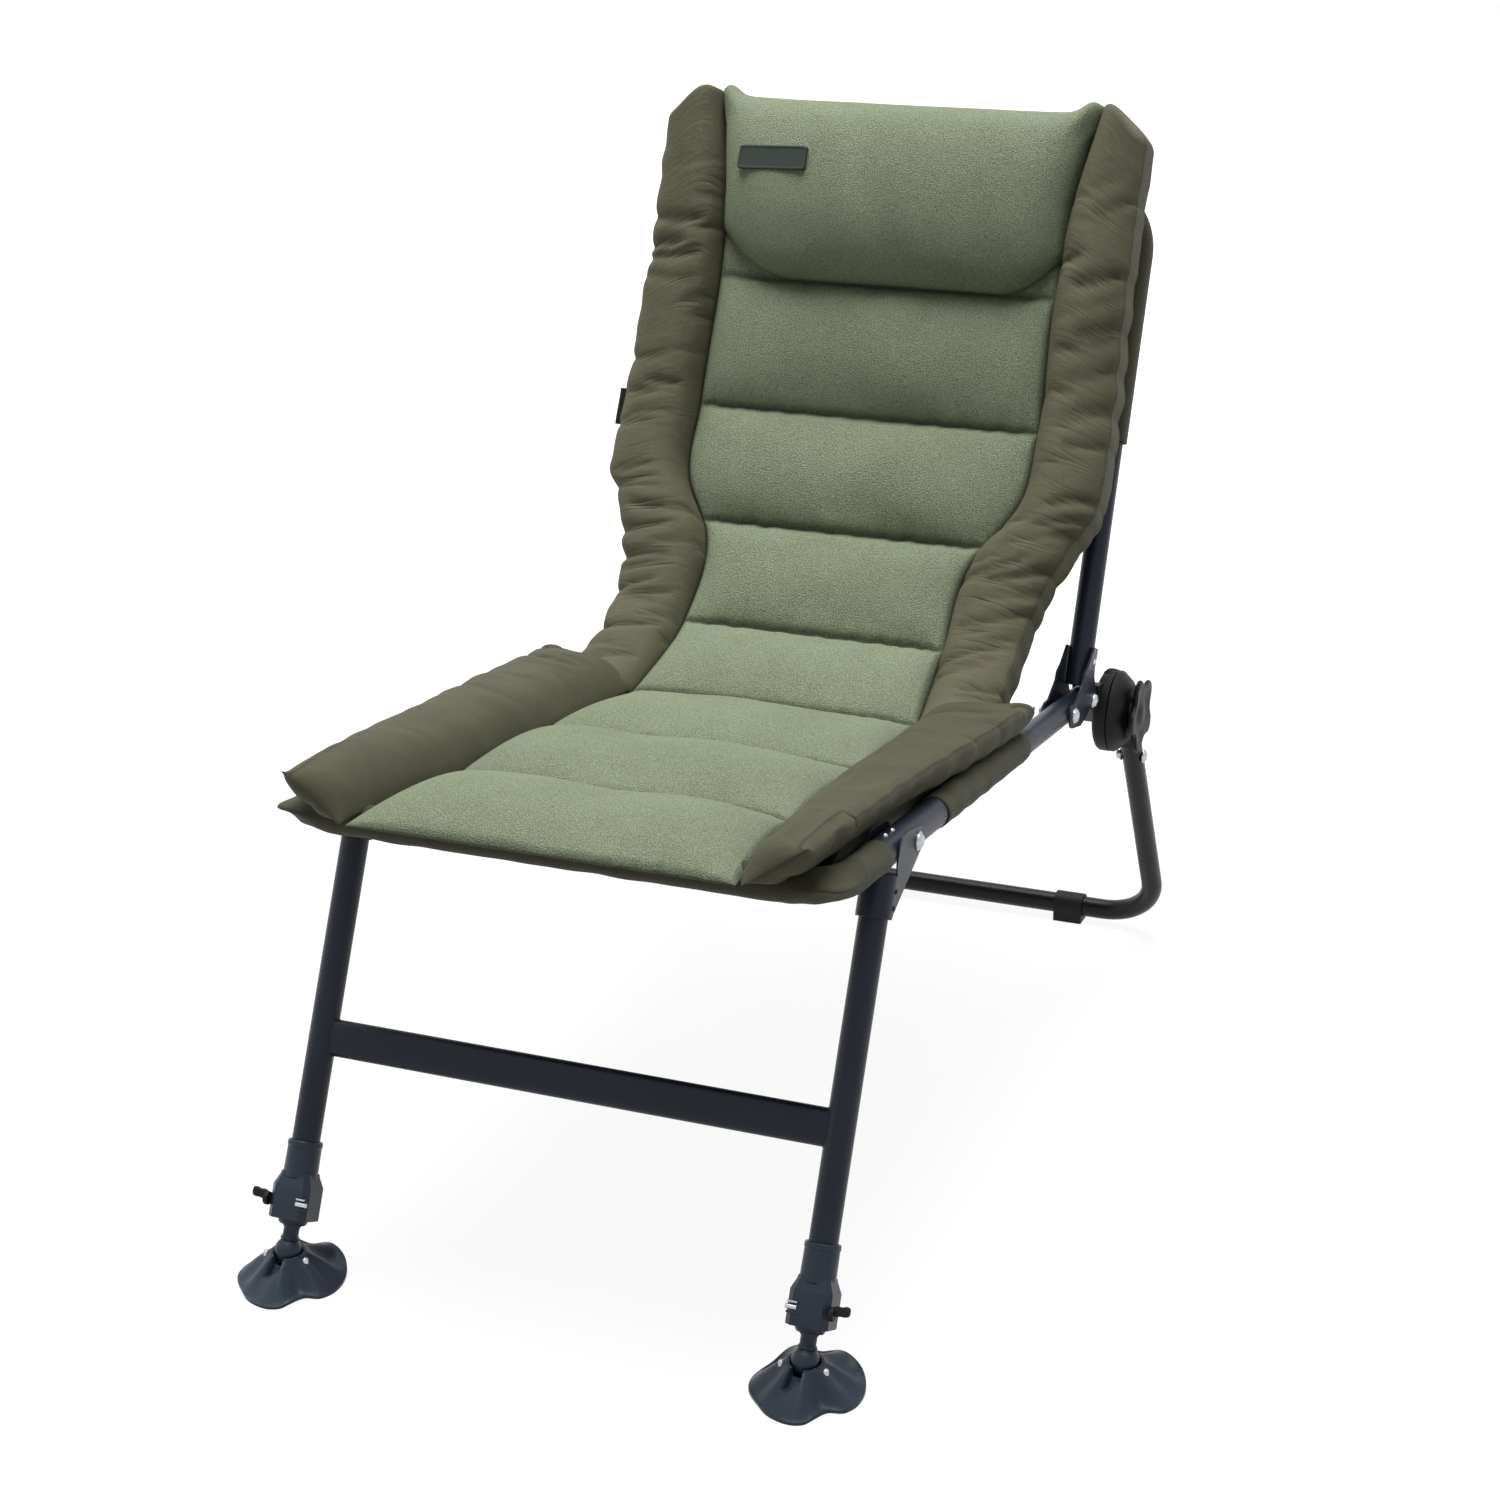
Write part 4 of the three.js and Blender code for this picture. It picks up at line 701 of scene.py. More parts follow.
def bolt(shank, head, low, high, rise=4.0, nut=3.5, washer=0.8):
    """Profile along X of a bolt with a washer and dome at one end and a nut at the other."""
    angles = np.linspace(0, np.pi / 2, 8)
    dome = [(head * np.cos(a), high + washer + rise * np.sin(a)) for a in angles]
    wide = head * 1.18
    return [
        (0, low - nut - 1.2), (shank, low - nut - 1.2), (shank, low - nut),
        (head * 0.82, low - nut), (head * 0.95, low - nut + 0.8), (head * 0.95, low - washer),
        (wide, low - washer), (wide, low), (shank, low), (shank, high), (wide, high),
        (wide, high + washer), *dome[:-1], (0, high + washer + rise),
    ]


def make_bolts():
    """Pivot, hinge and end bolts through the rails, and the rear legs' cross bolts."""
    rows = (
        ("pivot_bolt", "leg_pivot_bolt", PIVOT_ALONG, BRACKET_OUTER + GAP, 7.0),
        ("back_hinge_bolt", "hinge_bolt", HINGE_ALONG, HINGE_OUTER + GAP, 7.0),
        ("end_bolt", "rail_end_bolt", END_BOLT_ALONG, HINGE_OUTER + GAP, 6.6),
    )
    for tag, mirrored in SIDES:
        for name, node, along, grip, head in rows:
            body = turned(bolt(4, head, -grip, grip), "x", 32, at=(RAIL_X, along, 0))
            piece(f"{name}_{tag}", [body], "zinc", "seat", [f"{node}_{tag}"], SEAT, mirrored)
        grip = REAR_RADIUS + GAP
        body = turned(bolt(2.5, 6.0, -grip, grip, 3.2, 5.0, 0.9), "x", 32, at=(REAR_X, 0, -66))
        node = f"rear_leg_bolt_{tag}"
        piece(f"rear_cross_bolt_{tag}", [body], "zinc", "rear_leg", [node], REAR, mirrored)


def make_saddle(tag, mirrored):
    """Steel saddle over the rail between the sleeves, its skirt rounded at the rear end."""
    inner, outer, skirt, rounding = RAIL_RADIUS + 0.2, 13.9, -11, 14
    low, high = SLEEVE_GAP[0] + 0.5, SLEEVE_GAP[1] - 0.5
    section = np.array(arc((0, 0), outer, -50, 230, 28) + arc((0, 0), inner, 230, -50, 28))
    turn = np.linspace(0, np.pi / 2, 7)
    along = np.concatenate([[low], high - rounding + rounding * np.sin(turn)])
    cut = np.concatenate([[0], rounding * (1 - np.cos(turn))])
    rows = np.zeros((len(along), len(section), 3))
    rows[..., 0] = RAIL_X + section[:, 0]
    rows[..., 1] = along[:, None]
    rows[..., 2] = np.maximum(section[:, 1], skirt + cut[:, None])
    node = f"leg_saddle_{tag}"
    piece(f"saddle_{tag}", [capped(rows)], "frame", "seat", [node], SEAT, mirrored)
    head = [(0, 2.2), (1.4, 2.0), (2.4, 1.1), (2.7, 0), (0, 0)]
    heads = [turned(head, "z", 16, at=(RAIL_X, along, outer - 0.3)) for along in (122, 139)]
    piece(f"saddle_rivets_{tag}", heads, "zinc", "seat", (), SEAT, mirrored)


def make_leg_bracket(tag, mirrored):
    """A close shell round the front of the leg's top, with flat sides that reach back to the
    pivot in a straight rear edge."""
    low, high, outer, inner = -70, -33, BRACKET_OUTER, RAIL_RADIUS + 0.15
    front, centre = -LEG_OFFSET, (0, -LEG_OFFSET)
    shell = arc(centre, outer, 180, 360, 24) + arc(centre, inner, 360, 180, 24)
    shell = prism(shell, low, high, "z")
    outline = [
        (front, low), (front + 2, low), (front + 4.5, low + 5), *arc((0, 0), 13.2, -28, 96, 16),
        (-14, 10), (-32, 5.5), (-40, 1), (-45, -8), (-45.5, -24), (front, high),
    ]
    plates = [prism(outline, 14.05, outer), prism(outline, -outer, -14.05)]
    parts = moved([shell, *plates], (RAIL_X, 0, 0))
    node = f"leg_bracket_{tag}"
    piece(f"top_bracket_{tag}", parts, "frame", "front_legs", [node], LEG, mirrored, 0.5)
    head = [(0, outer + 1.6), (1.5, outer + 1.4), (2.4, outer + 0.6), (2.6, outer), (0, outer)]
    heads = [turned(head, "x", 16, at=(RAIL_X, front + 2, z)) for z in (-46, -60)]
    piece(f"bracket_rivets_{tag}", heads, "frame", "front_legs", (), LEG, mirrored)


def make_collar(tag, mirrored):
    """Clamp collar: lipped sleeve, shouldered block with cut corners, and a boss."""
    bore, top, block = RAIL_RADIUS + 0.2, COLLAR_TOP, BLOCK_TOP
    sleeve = turned([
        (bore, top - 0.8), (14.6, top - 0.4), (15.4, top - 1.4), (15.6, top - 5), (15.0, top - 6),
        (15.4, block - 2), (bore, block - 2),
    ], closed=True)
    w, d, corner = BLOCK_HALF, BLOCK_DEPTH, 5.5
    wide = np.array([
        (-w, -d + corner), (-w + corner, -d), (w - corner, -d), (w, -d + corner),
        (w, d - corner), (w - corner, d), (-w + corner, d), (-w, d - corner),
    ])
    levels = [
        (BLOCK_LOW, 0.5), (BLOCK_LOW, 0.985), (BLOCK_LOW + 1, 1), (block - 10, 1),
        (block - 9, 0.985), (block - 0.5, 0.79), (block + 2.5, 0.76), (block + 2.5, 0.5),
    ]
    body = np.array([[(*(pair * share), z) for pair in wide] for z, share in levels])
    bore = INNER_LEG_RADIUS + 0.2
    boss = turned([
        (bore, BLOCK_LOW + 2), (13, BLOCK_LOW + 2), (12.8, BOSS_LOW + 2), (11.2, BOSS_LOW),
        (bore, BOSS_LOW),
    ], closed=True)
    body = grid(body, wrap_rows=True, wrap_columns=True)
    parts = moved([sleeve, body, boss], (RAIL_X, -LEG_OFFSET, 0))
    y, x1, x2 = -LEG_OFFSET - d, -w + 1, -w + 12
    lips = [
        prism([(x1, low), (x2, low), (x2, high), (x1, high)], y - 0.5, y + 3, "y")
        for low, high in ((SCREW_UP + 3.4, SCREW_UP + 5.2), (SCREW_UP - 5.2, SCREW_UP - 3.4))
    ]
    parts += moved(lips, (RAIL_X, 0, 0))
    node = f"leg_collar_{tag}"
    piece(f"clamp_collar_{tag}", parts, "foot", "front_legs", [node], LEG, mirrored, 0.35, 30)


def make_lever(tag, mirrored):
    """Clamp lever with a knuckled wing, and the end of its screw in the collar's slot."""
    y, z, sides = -LEG_OFFSET - 13.5, SCREW_UP, 20
    hub = [(0, 0.3), (5.6, 0.3), (6, 0.9), (6, 3.8), (5.4, 4.6), (0, 4.8)]
    hub = turned(hub, "x", 24, at=(BLOCK_HALF, 0, 0))
    # Sections of the wing: place out from the block, half its width, its lower and upper edge
    out, half_y, low_z, high_z = np.array([
        (1, 2.6, -3, 5), (3, 2.4, -2.6, 6.4), (6, 2.1, -1.4, 7.6), (10, 2.3, -0.6, 7.2),
        (14, 2.9, -0.6, 8.4), (16.5, 2.6, 0.2, 8.0), (17.5, 1.6, 1.8, 6.4),
    ]).T[..., None]
    angle = round_angles(sides)
    across = half_y * signed_power(np.cos(angle), 0.6)
    up = (low_z + high_z) / 2 + (high_z - low_z) / 2 * signed_power(np.sin(angle), 0.6)
    rows = np.stack([np.broadcast_to(BLOCK_HALF + out, across.shape), across, up], -1)
    ends = [row.mean(axis=1, keepdims=True).repeat(sides, 1) for row in (rows[:1], rows[-1:])]
    wing = grid(np.concatenate([ends[0], rows, ends[1]]), wrap_columns=True)
    parts = moved([hub, wing], (RAIL_X, y, z))
    node = f"clamp_lever_{tag}"
    piece(f"clamp_wing_{tag}", parts, "plastic", f"lever_{tag}", [node], LEG, mirrored)
    pin = [(0, -19.2), (1.8, -19.2), (2.2, -18.7), (2.2, -9), (0, -9)]
    pin = turned(pin, "x", sides, at=(RAIL_X, y - 2.6, z))
    bar = prism([(-4.2, -0.7), (-2.0, -0.7), (-2.0, 0.7), (-4.2, 0.7)], -17.5, -9)
    parts = [pin, *moved([bar], (RAIL_X, y - 0.2, z + 4.4))]
    piece(f"clamp_screw_{tag}", parts, "zinc", "front_legs", (), LEG, mirrored, 0.2)


def make_inner_leg(tag, mirrored):
    """Inner leg with a neck that seats on the ball."""
    ball, neck, top = -LEG_LENGTH, BOSS_LOW - 3, BLOCK_TOP + 95
    outer, bore = INNER_LEG_RADIUS, INNER_LEG_RADIUS - TUBE_WALL
    shaft = turned([
        (0, ball + 10.6), (5.5, ball + 10.6), (8.2, ball + 9.6), (8.6, ball + 11),
        (7.0, ball + 13.5), (7.0, neck), (outer, neck + 2.4), (outer, top), (bore, top),
        (bore, neck + 6), (0, neck + 6),
    ], at=(RAIL_X, -LEG_OFFSET, 0))
    node = f"inner_leg_{tag}"
    piece(f"lower_leg_{tag}", [shaft], "foot", f"inner_leg_{tag}", [node], LEG, mirrored)


# Rim of the mud foot by direction, in degrees from the right: radius, and lift off the ground
RIM_RADII = [
    (0, 48.5), (20, 50), (45, 50), (70, 48), (95, 45), (120, 49), (150, 46), (172, 48), (192, 48),
    (228, 44.5), (255, 48), (288, 48.5), (300, 43.5), (318, 39.5), (336, 45),
]
RIM_LIFTS = [
    (0, 1), (20, 4), (45, 10), (70, 14), (95, 9), (120, 12), (150, 3), (172, 0), (192, 0),
    (228, 0), (255, 0), (288, 0), (300, 2), (318, 3), (336, 0.5),
]
# Ridges and valleys of its skin by direction, one at a ridge
PLEATS = [
    (0, 0.3), (18, 1), (45, -0.8), (70, 1), (95, -1), (120, 1), (150, -1), (184, 1), (212, -0.4),
    (232, 0.5), (250, -0.3), (284, 1), (316, -1.3), (338, 0.8),
]
# Its section: radius of the neck, thickness of the skin, height of a pleat, depth of the slot
NECK_RADIUS = 16.5
SKIN = 2.6
PLEAT_HEIGHT = 4.2
SLOT_DEPTH = 9.5
SLOT_TOWARD = np.radians(262)
# The seat of the ball: radius and height of the rings from its floor to the neck
DISH_RINGS = [(13.2, -14.0), (13.2, -1.5), (13.6, -0.6), (15.8, -0.6)]


def rim_at(turn, values):
    """Values given at directions round the foot, in degrees from the right, as a closed curve."""
    at, value = np.array(values, float).T
    at = np.concatenate([at[-2:] - 360, at, at[:2] + 360])
    value = np.concatenate([value[-2:], value, value[:2]])
    return curve(at, value, np.degrees(turn))


def round_rows(radius, turn, height):
    """Points round the vertical axis."""
    points = np.broadcast_arrays(radius * np.cos(turn), radius * np.sin(turn), height)
    return np.stack(points, -1)


def make_foot(tag, mirrored):
    """Ball in a dish: broad pleats run from a neck to a rim that waves in plan and height,
    with a slot below the ball at the front and a rivet at each side. The skin's height falls
    from the neck to the rim as the power 1.3 of the share left, plus the rim's lift, plus
    half a sine wave of pleats."""
    centre = (-RAIL_X if mirrored else RAIL_X, 0, 0)
    angle = np.linspace(0, np.pi, 25) - np.pi / 2
    ball = turned([(BALL_RADIUS * np.cos(a), BALL_RADIUS * np.sin(a)) for a in angle], at=centre)
    piece(f"ankle_ball_{tag}", [ball], "foot", f"ball_{tag}", [f"foot_ball_{tag}"], ANKLE)
    ground = -PIVOTS["foot_l_pitch"][2] / MM
    turn = round_angles(120)
    rim, lift = rim_at(turn, RIM_RADII), np.maximum(rim_at(turn, RIM_LIFTS), 0)
    shares = np.array([0, 0.05, 0.14, 0.26, 0.4, 0.54, 0.68, 0.8, 0.9, 0.97, 1.0])[:, None]
    radius = NECK_RADIUS + (rim - NECK_RADIUS) * shares
    top = ground + SKIN + lift * shares ** 1.6 + (-ground - 4.0) * (1 - shares) ** 1.3
    top = top + PLEAT_HEIGHT * rim_at(turn, PLEATS) * np.sin(np.pi * shares) ** 0.8
    toward = np.abs((turn - SLOT_TOWARD + np.pi) % (2 * np.pi) - np.pi)
    slot = (1 - smooth_step(toward, 0.28, 0.36)) * (1 - smooth_step(radius, 23, 26))
    top = np.maximum(top - SLOT_DEPTH * slot, ground + 3)
    skin = round_rows(radius, turn, top)
    under = skin[::-1].copy()
    under[..., 2] = np.maximum(under[..., 2] - SKIN, ground)
    open_front = (1 - smooth_step(toward, 0.3, 0.4)) * 8
    rings = [round_rows(r, turn, z - (open_front if z > -10 else 0)) for r, z in DISH_RINGS]
    floor = round_rows(DISH_RINGS[0][0], turn, -15.0)
    dish = np.concatenate([np.array(rings), skin, under, floor[None]])
    well = turned([(0, -13.2), (13.6, -12.8), (13.6, -15.4), (0, -15.8)])
    parts = moved([grid(dish, wrap_rows=True, wrap_columns=True), well], centre)
    body = f"foot_{tag}"
    piece(f"mud_dish_{tag}", parts, "foot", body, [f"mud_foot_{tag}"], ANKLE, sharp=34)
    bow = [(13.0, -4.4), (16.4, -4.4), (16.9, -2.8), (16.2, -0.8), (13.9, -0.3), (13.0, -1.0)]
    points, faces = turned(bow, closed=True)
    points[:, 1] = np.maximum(points[:, 1], -9)
    bow = moved([(points, faces)], centre)
    piece(f"ball_bow_{tag}", bow, "foot", body, [f"ball_strap_{tag}"], ANKLE)
    head = [(0, 3.6), (1.5, 3.3), (2.5, 2.3), (2.8, 1.0), (2.8, -3), (0, -3)]
    heads = [turned(head, "z", 16, at=(centre[0] + side, -4.5, -4.6)) for side in (-19.6, 19.6)]
    piece(f"foot_rivets_{tag}", heads, "zinc", body, (), ANKLE)


# Faces of a ratchet along X: seat half's inner face, the split, leg half's outer face
RATCHET_IN, RATCHET_SPLIT, RATCHET_OUT = 254, 270, 286


def teeth(angle):
    """A few teeth of the ratchet at the front of its rim."""
    return np.cos(30 * angle) * (np.abs(angle - 1.35) < 0.5)


def lobes(angle):
    """Five blunt lobes of the star knob."""
    return signed_power(np.cos(5 * (angle - 0.74)), 0.8)


def make_ratchet(tag, mirrored):
    """Seat half with its arm and a few teeth on its rim, tapered leg half, and a star knob."""
    x1, x2, x3 = RATCHET_IN, RATCHET_SPLIT, RATCHET_OUT
    at = (0, AXLE_ALONG, -AXLE_DROP)
    inner = turned([
        (0, x1), (33, x1), (37, x1 + 0.8), (40, x1 + 2.5, 1.4), (41.6, x1 + 5, 1.6),
        (41.8, x1 + 9, 1.2), (41.8, x2 - 1.2), (41, x2 - GAP), (0, x2 - GAP),
    ], "x", 120, teeth, at=at)
    arm = prism([
        (RAIL_LENGTH + 0.4, -12.4), (AXLE_ALONG, -AXLE_DROP - 15), (AXLE_ALONG, -AXLE_DROP + 15),
        (RAIL_LENGTH + 14, 12.8), (RAIL_LENGTH + 0.4, 12.4),
    ], 234, 262)
    node = f"ratchet_inner_{tag}"
    piece(f"ratchet_body_{tag}", [inner, arm], "plastic", "seat", [node], SEAT, mirrored, 0.8, 40)
    outer = turned([
        (0, x2 + GAP), (41, x2 + GAP), (41.8, x2 + 1.2), (41.6, x2 + 3), (33, x3 - 3),
        (29, x3 - 0.8), (27, x3), (0, x3),
    ], "x", 96)
    socket = straight_tube(REAR_RADIUS + 1.2, 4, -43, -26, (REAR_X - 2.5, 0, 0))
    parts, node = [outer, socket], f"ratchet_outer_{tag}"
    piece(f"ratchet_cap_{tag}", parts, "plastic", "rear_leg", [node], REAR, mirrored, 0.6)
    axle = turned([
        (0, 226.6), (7.5, 226.6), (9, 228), (9, 232.7), (5, 232.7), (5, 296), (0, 296),
    ], "x", 32, at=at)
    node = f"ratchet_axle_{tag}"
    piece(f"ratchet_pin_{tag}", [axle], "zinc", "seat", [node], SEAT, mirrored)
    star = turned([
        (0, x3 + 0.4), (15, x3 + 0.4), (17, x3 + 1.2), (17.5, x3 + 3.5, 0.6), (22, x3 + 4.5, 2.5),
        (29, x3 + 6, 5), (34, x3 + 8.2, 5.5), (34.8, x3 + 10.4, 5.6), (33.5, x3 + 12, 5.4),
        (28, x3 + 12, 4.4), (18, x3 + 10.2, 1.5), (12, x3 + 11, 0.3), (9, x3 + 12.6), (0, x3 + 13),
    ], "x", 120, lobes, at=at)
    node = f"knob_{tag}"
    piece(f"star_knob_{tag}", [star], "plastic", node, [node], SEAT, mirrored, 0, 50)


def make_clip(tag, mirrored):
    """Plastic clip round the rear bar with a flat sole."""
    low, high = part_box(f"rear_clip_{tag}")
    middle = PIVOTS["rear_leg_fold"] + tilted(REAR_LEAN) @ np.array([0, 0, -REAR_LENGTH]) * MM
    axes = (np.array([0, middle[1], middle[2]]), np.eye(3))
    from_x, to_x = sorted(abs(v) / MM for v in (low.x, high.x))
    sole = [(-13, -10), (-13, -SOLE_DROP), (13, -SOLE_DROP), (13, -10)]
    shell = prism([*arc((0, 0), 14, -20, 200, 24), *sole], from_x, to_x)
    node = f"rear_clip_{tag}"
    piece(f"ground_clip_{tag}", [shell], "plastic", "rear_leg", [node], axes, mirrored, 0.8)


def make_hinge_bracket(tag, mirrored):
    """Two plates astride the rail and the back tube: a narrow tab up the tube's rear side, a
    waist, and a foot round the hinge bolt with a lobe that stops on the rail's end bolt."""
    stop = (HINGE_ALONG - END_BOLT_ALONG) * np.array([-1, 0])
    stop = tilted(BACK_LEAN - SEAT_TILT)[1:, 1:] @ stop
    y, z = stop
    outline = [
        *arc((0, 0), 13, 165, 290, 12), (30, -8), (48, 3), (y - 9, 11),
        *arc(stop, 4.4, 200, -20, 8), (y + 11, z - 1), (y + 11, z + 6), (y + 4, z + 12),
        (57, 44), (55, 52), (57, 70), (55, 72), (43, 72), (41, 68), (30, 52), (20, 43), (19, 34),
        (2, 13), (-10, 9),
    ]
    plates = moved([prism(outline, 12.8, 15.2), prism(outline, -15.2, -12.8)], (RAIL_X, 0, 0))
    node = f"hinge_bracket_{tag}"
    piece(f"hinge_plates_{tag}", plates, "frame", "backrest", [node], BACK, mirrored, 0.4)
    head = [(0, 16.8), (1.6, 16.6), (2.6, 16.0), (3, 15.2), (0, 15.2)]
    tail = [(radius, -place) for radius, place in head]
    heads = [turned(profile, "x", 20, at=(RAIL_X, 48, 58)) for profile in (head, tail)]
    piece(f"back_rivets_{tag}", heads, "zinc", "backrest", (), BACK, mirrored)


def make_hard_pieces():
    make_tubes()
    make_legs()
    make_bolts()
    for side in SIDES:
        make_saddle(*side)
        make_leg_bracket(*side)
        make_collar(*side)
        make_lever(*side)
        make_inner_leg(*side)
        make_foot(*side)
        make_ratchet(*side)
        make_clip(*side)
        make_hinge_bracket(*side)


# Soft pieces

def corner_uv(points, spacing, wrap_columns):
    """Cloth coordinates in metres at each face's corners, by place in the grid."""
    rows, columns = points.shape[:2]
    last = columns if wrap_columns else columns - 1
    i, j = np.meshgrid(np.arange(rows - 1), np.arange(last), indexing="ij")
    corners = [(i, j), (i, j + 1), (i + 1, j + 1), (i + 1, j)]
    return np.stack([np.stack([b, a], -1) for a, b in corners], 2) * np.array(spacing) * MM


def soft_piece(name, points, finish, spacing, axes, mirrored, rest, pins, seams, creases=None):
    """A closed padded grid, wrapped round its columns and drawn shut at its ends. Rest places
    give the size its cloth is cut to, pins hold points still, seams are the distances in
    millimetres to the nearest stitched line, and creases are one in the deepest creases. The
    cloth's colour is darkened by both: thread and painted shade at seams, painted shade in
    the creases."""
    uv = corner_uv(points, spacing, True).reshape(-1, 2)
    marks = {"rest": rest * MM, "pins": pins * 1.0, "seam": seams * MM}
    if creases is not None:
        marks["crease"] = creases
    mesh = mesh_of(name, [grid(points, wrap_columns=True)], axes, mirrored, uv, True, marks)
    mesh.materials.append(materials[finish])
    return linked(name, mesh)


def places_of(mesh):
    values = np.empty(len(mesh.vertices) * 3, np.float32)
    mesh.vertices.foreach_get("co", values)
    return values.reshape(-1, 3)


def take_mark(mesh, label, width):
    """The values kept under a name, which then goes."""
    kept = mesh.attributes[label]
    values = np.empty(len(mesh.vertices) * width, np.float32)
    kept.data.foreach_get("vector" if width == 3 else "value", values)
    mesh.attributes.remove(kept)
    return values


def settled(obj, stiffness, bending, cap):
    """Cloth simulation: the cloth is cut larger than its place and held at its seams, and the
    filling presses it out, so that it gathers into folds. No point moves further than the cap
    in millimetres."""
    mesh = obj.data
    rest, pins = take_mark(mesh, "rest", 3), take_mark(mesh, "pins", 1)
    before = places_of(mesh)
    obj.shape_key_add(name="placed", from_mix=False)
    cut = obj.shape_key_add(name="cut", from_mix=False)
    cut.data.foreach_set("co", rest)
    group = obj.vertex_groups.new(name="held")
    group.add(np.flatnonzero(pins > 0.5).tolist(), 1.0, "REPLACE")
    cloth = obj.modifiers.new("cloth", "CLOTH")
    settings = cloth.settings
    settings.quality = 6
    settings.mass = 0.15
    settings.tension_stiffness = settings.compression_stiffness = stiffness
    settings.shear_stiffness = stiffness / 3
    settings.bending_stiffness = bending
    settings.air_damping = 2
    settings.vertex_group_mass = group.name
    settings.rest_shape_key = cut
    settings.use_pressure = True
    settings.uniform_pressure_force = PRESSURE
    settings.effector_weights.gravity = 0
    cloth.collision_settings.use_collision = False
    cloth.point_cache.frame_start, cloth.point_cache.frame_end = 1, CLOTH_FRAMES
    for number in range(1, CLOTH_FRAMES + 1):
        bpy.context.scene.frame_set(number)
    view = bpy.context.evaluated_depsgraph_get()
    after = places_of(obj.evaluated_get(view).data)
    obj.modifiers.clear()
    obj.shape_key_clear()
    obj.vertex_groups.clear()
    bpy.context.scene.frame_set(1)
    shift = np.nan_to_num(after - before)
    length = np.linalg.norm(shift, axis=1, keepdims=True) + 1e-9
    limit = cap * MM
    shift = shift / length * limit * np.tanh(length / limit)
    mesh.vertices.foreach_set("co", (before + shift).ravel())
    mesh.update()
    subdivided(obj)


def subdivided(obj):
    """Puts the object's mesh, subdivided once and smooth, in the place of its own."""
    modifier = obj.modifiers.new("fine", "SUBSURF")
    modifier.levels = modifier.render_levels = 1
    view = bpy.context.evaluated_depsgraph_get()
    made = bpy.data.meshes.new_from_object(obj.evaluated_get(view), depsgraph=view)
    old = obj.data
    obj.modifiers.clear()
    obj.data = made
    bpy.data.meshes.remove(old)
    made.name = obj.name
    made.shade_smooth()


def seat_place(along, up):
    """Y and Z in the frame, in millimetres, of a place in the seat's axes."""
    return in_frame(np.array([0, along, up], float), SEAT)[1:] / MM


def back_place(y, z):
    return in_frame(np.array([0, y, z], float), BACK)[1:] / MM


# Stitched line of the pads from the front edge to the top: its knots, which are seams but for
# the last, their lengths along it, and the crown of the channel after each
PAD_POINTS = np.array([
    seat_place(-38, 6), seat_place(131, 10), seat_place(306, 10), seat_place(482, 10),
    back_place(-67, 43), back_place(-22, 152), back_place(3, 274), back_place(3, 410),
    back_place(3, 592), back_place(3, 612),
])
PAD_KNOTS = np.concatenate([[0], np.cumsum(np.linalg.norm(np.diff(PAD_POINTS, axis=0), axis=1))])
PAD_CROWNS = [25, 24, 24, 18, 18, 21, 19, 4, 4]
PAD_SEAMS = 8
PAD_LENGTH = PAD_KNOTS[-1]
# Knots at the crease between seat and back, at the waist, and under the headrest
CREASE, WAIST, HEADREST = 3, 6, 7

# Half width of the fleece: places as knots and parts of the way to the next, values
WIDTH_PLACES = [0, 1, 2, 3, 4, 4.9, 5.32, 6, 7, 7.5, 8, 9]
WIDTH_VALUES = [177, 160, 158, 148, 138, 145, 176, 183, 181, 186, 203, 206]
WIDTH_KNOTS = np.interp(WIDTH_PLACES, np.arange(len(PAD_KNOTS)), PAD_KNOTS)


def pad_frame(along):
    """Place and forward normal on the stitched line at lengths along it."""
    step = 0.5
    back, place, on = (curve(PAD_KNOTS, PAD_POINTS, along + way) for way in (-step, 0, step))
    heading = on - back
    heading[along + step > PAD_LENGTH] = heading[along + step <= PAD_LENGTH][-1]
    heading[along - step < 0] = heading[along - step >= 0][0]
    heading = unit(heading)
    return place, np.stack([-heading[:, 1], heading[:, 0]], -1)


def fleece_half(along):
    return curve(WIDTH_KNOTS, WIDTH_VALUES, along)


def swell_at(along, power=0.55):
    """Crown height at a length along: a power of half a sine wave from one seam to the next."""
    i = np.clip(np.searchsorted(PAD_KNOTS, along, side="right") - 1, 0, len(PAD_KNOTS) - 2)
    share = (along - PAD_KNOTS[i]) / (PAD_KNOTS[i + 1] - PAD_KNOTS[i])
    return np.array(PAD_CROWNS)[i] * np.maximum(np.sin(np.pi * share), 0) ** power


def ripple(at, wavelength, count=7):
    """Smooth uneven curve about a wavelength: a sum of sine waves of random phase."""
    lengths = wavelength * random.uniform(0.6, 1.7, count)
    phases = random.uniform(0, 2 * np.pi, count)
    waves = np.sin(2 * np.pi * np.asarray(at)[..., None] / lengths + phases)
    return waves.sum(-1) / np.sqrt(count)


def pad_depth(along):
    """Depth of the pads behind their stitched line."""
    crease = PAD_KNOTS[CREASE]
    stops = [0, 30, 80, crease, crease + 40, PAD_KNOTS[WAIST], PAD_LENGTH - 14, PAD_LENGTH]
    depths = [1.5, 3, 20, 21, 26, 27, 27, 22]
    return np.interp(along, stops, depths)


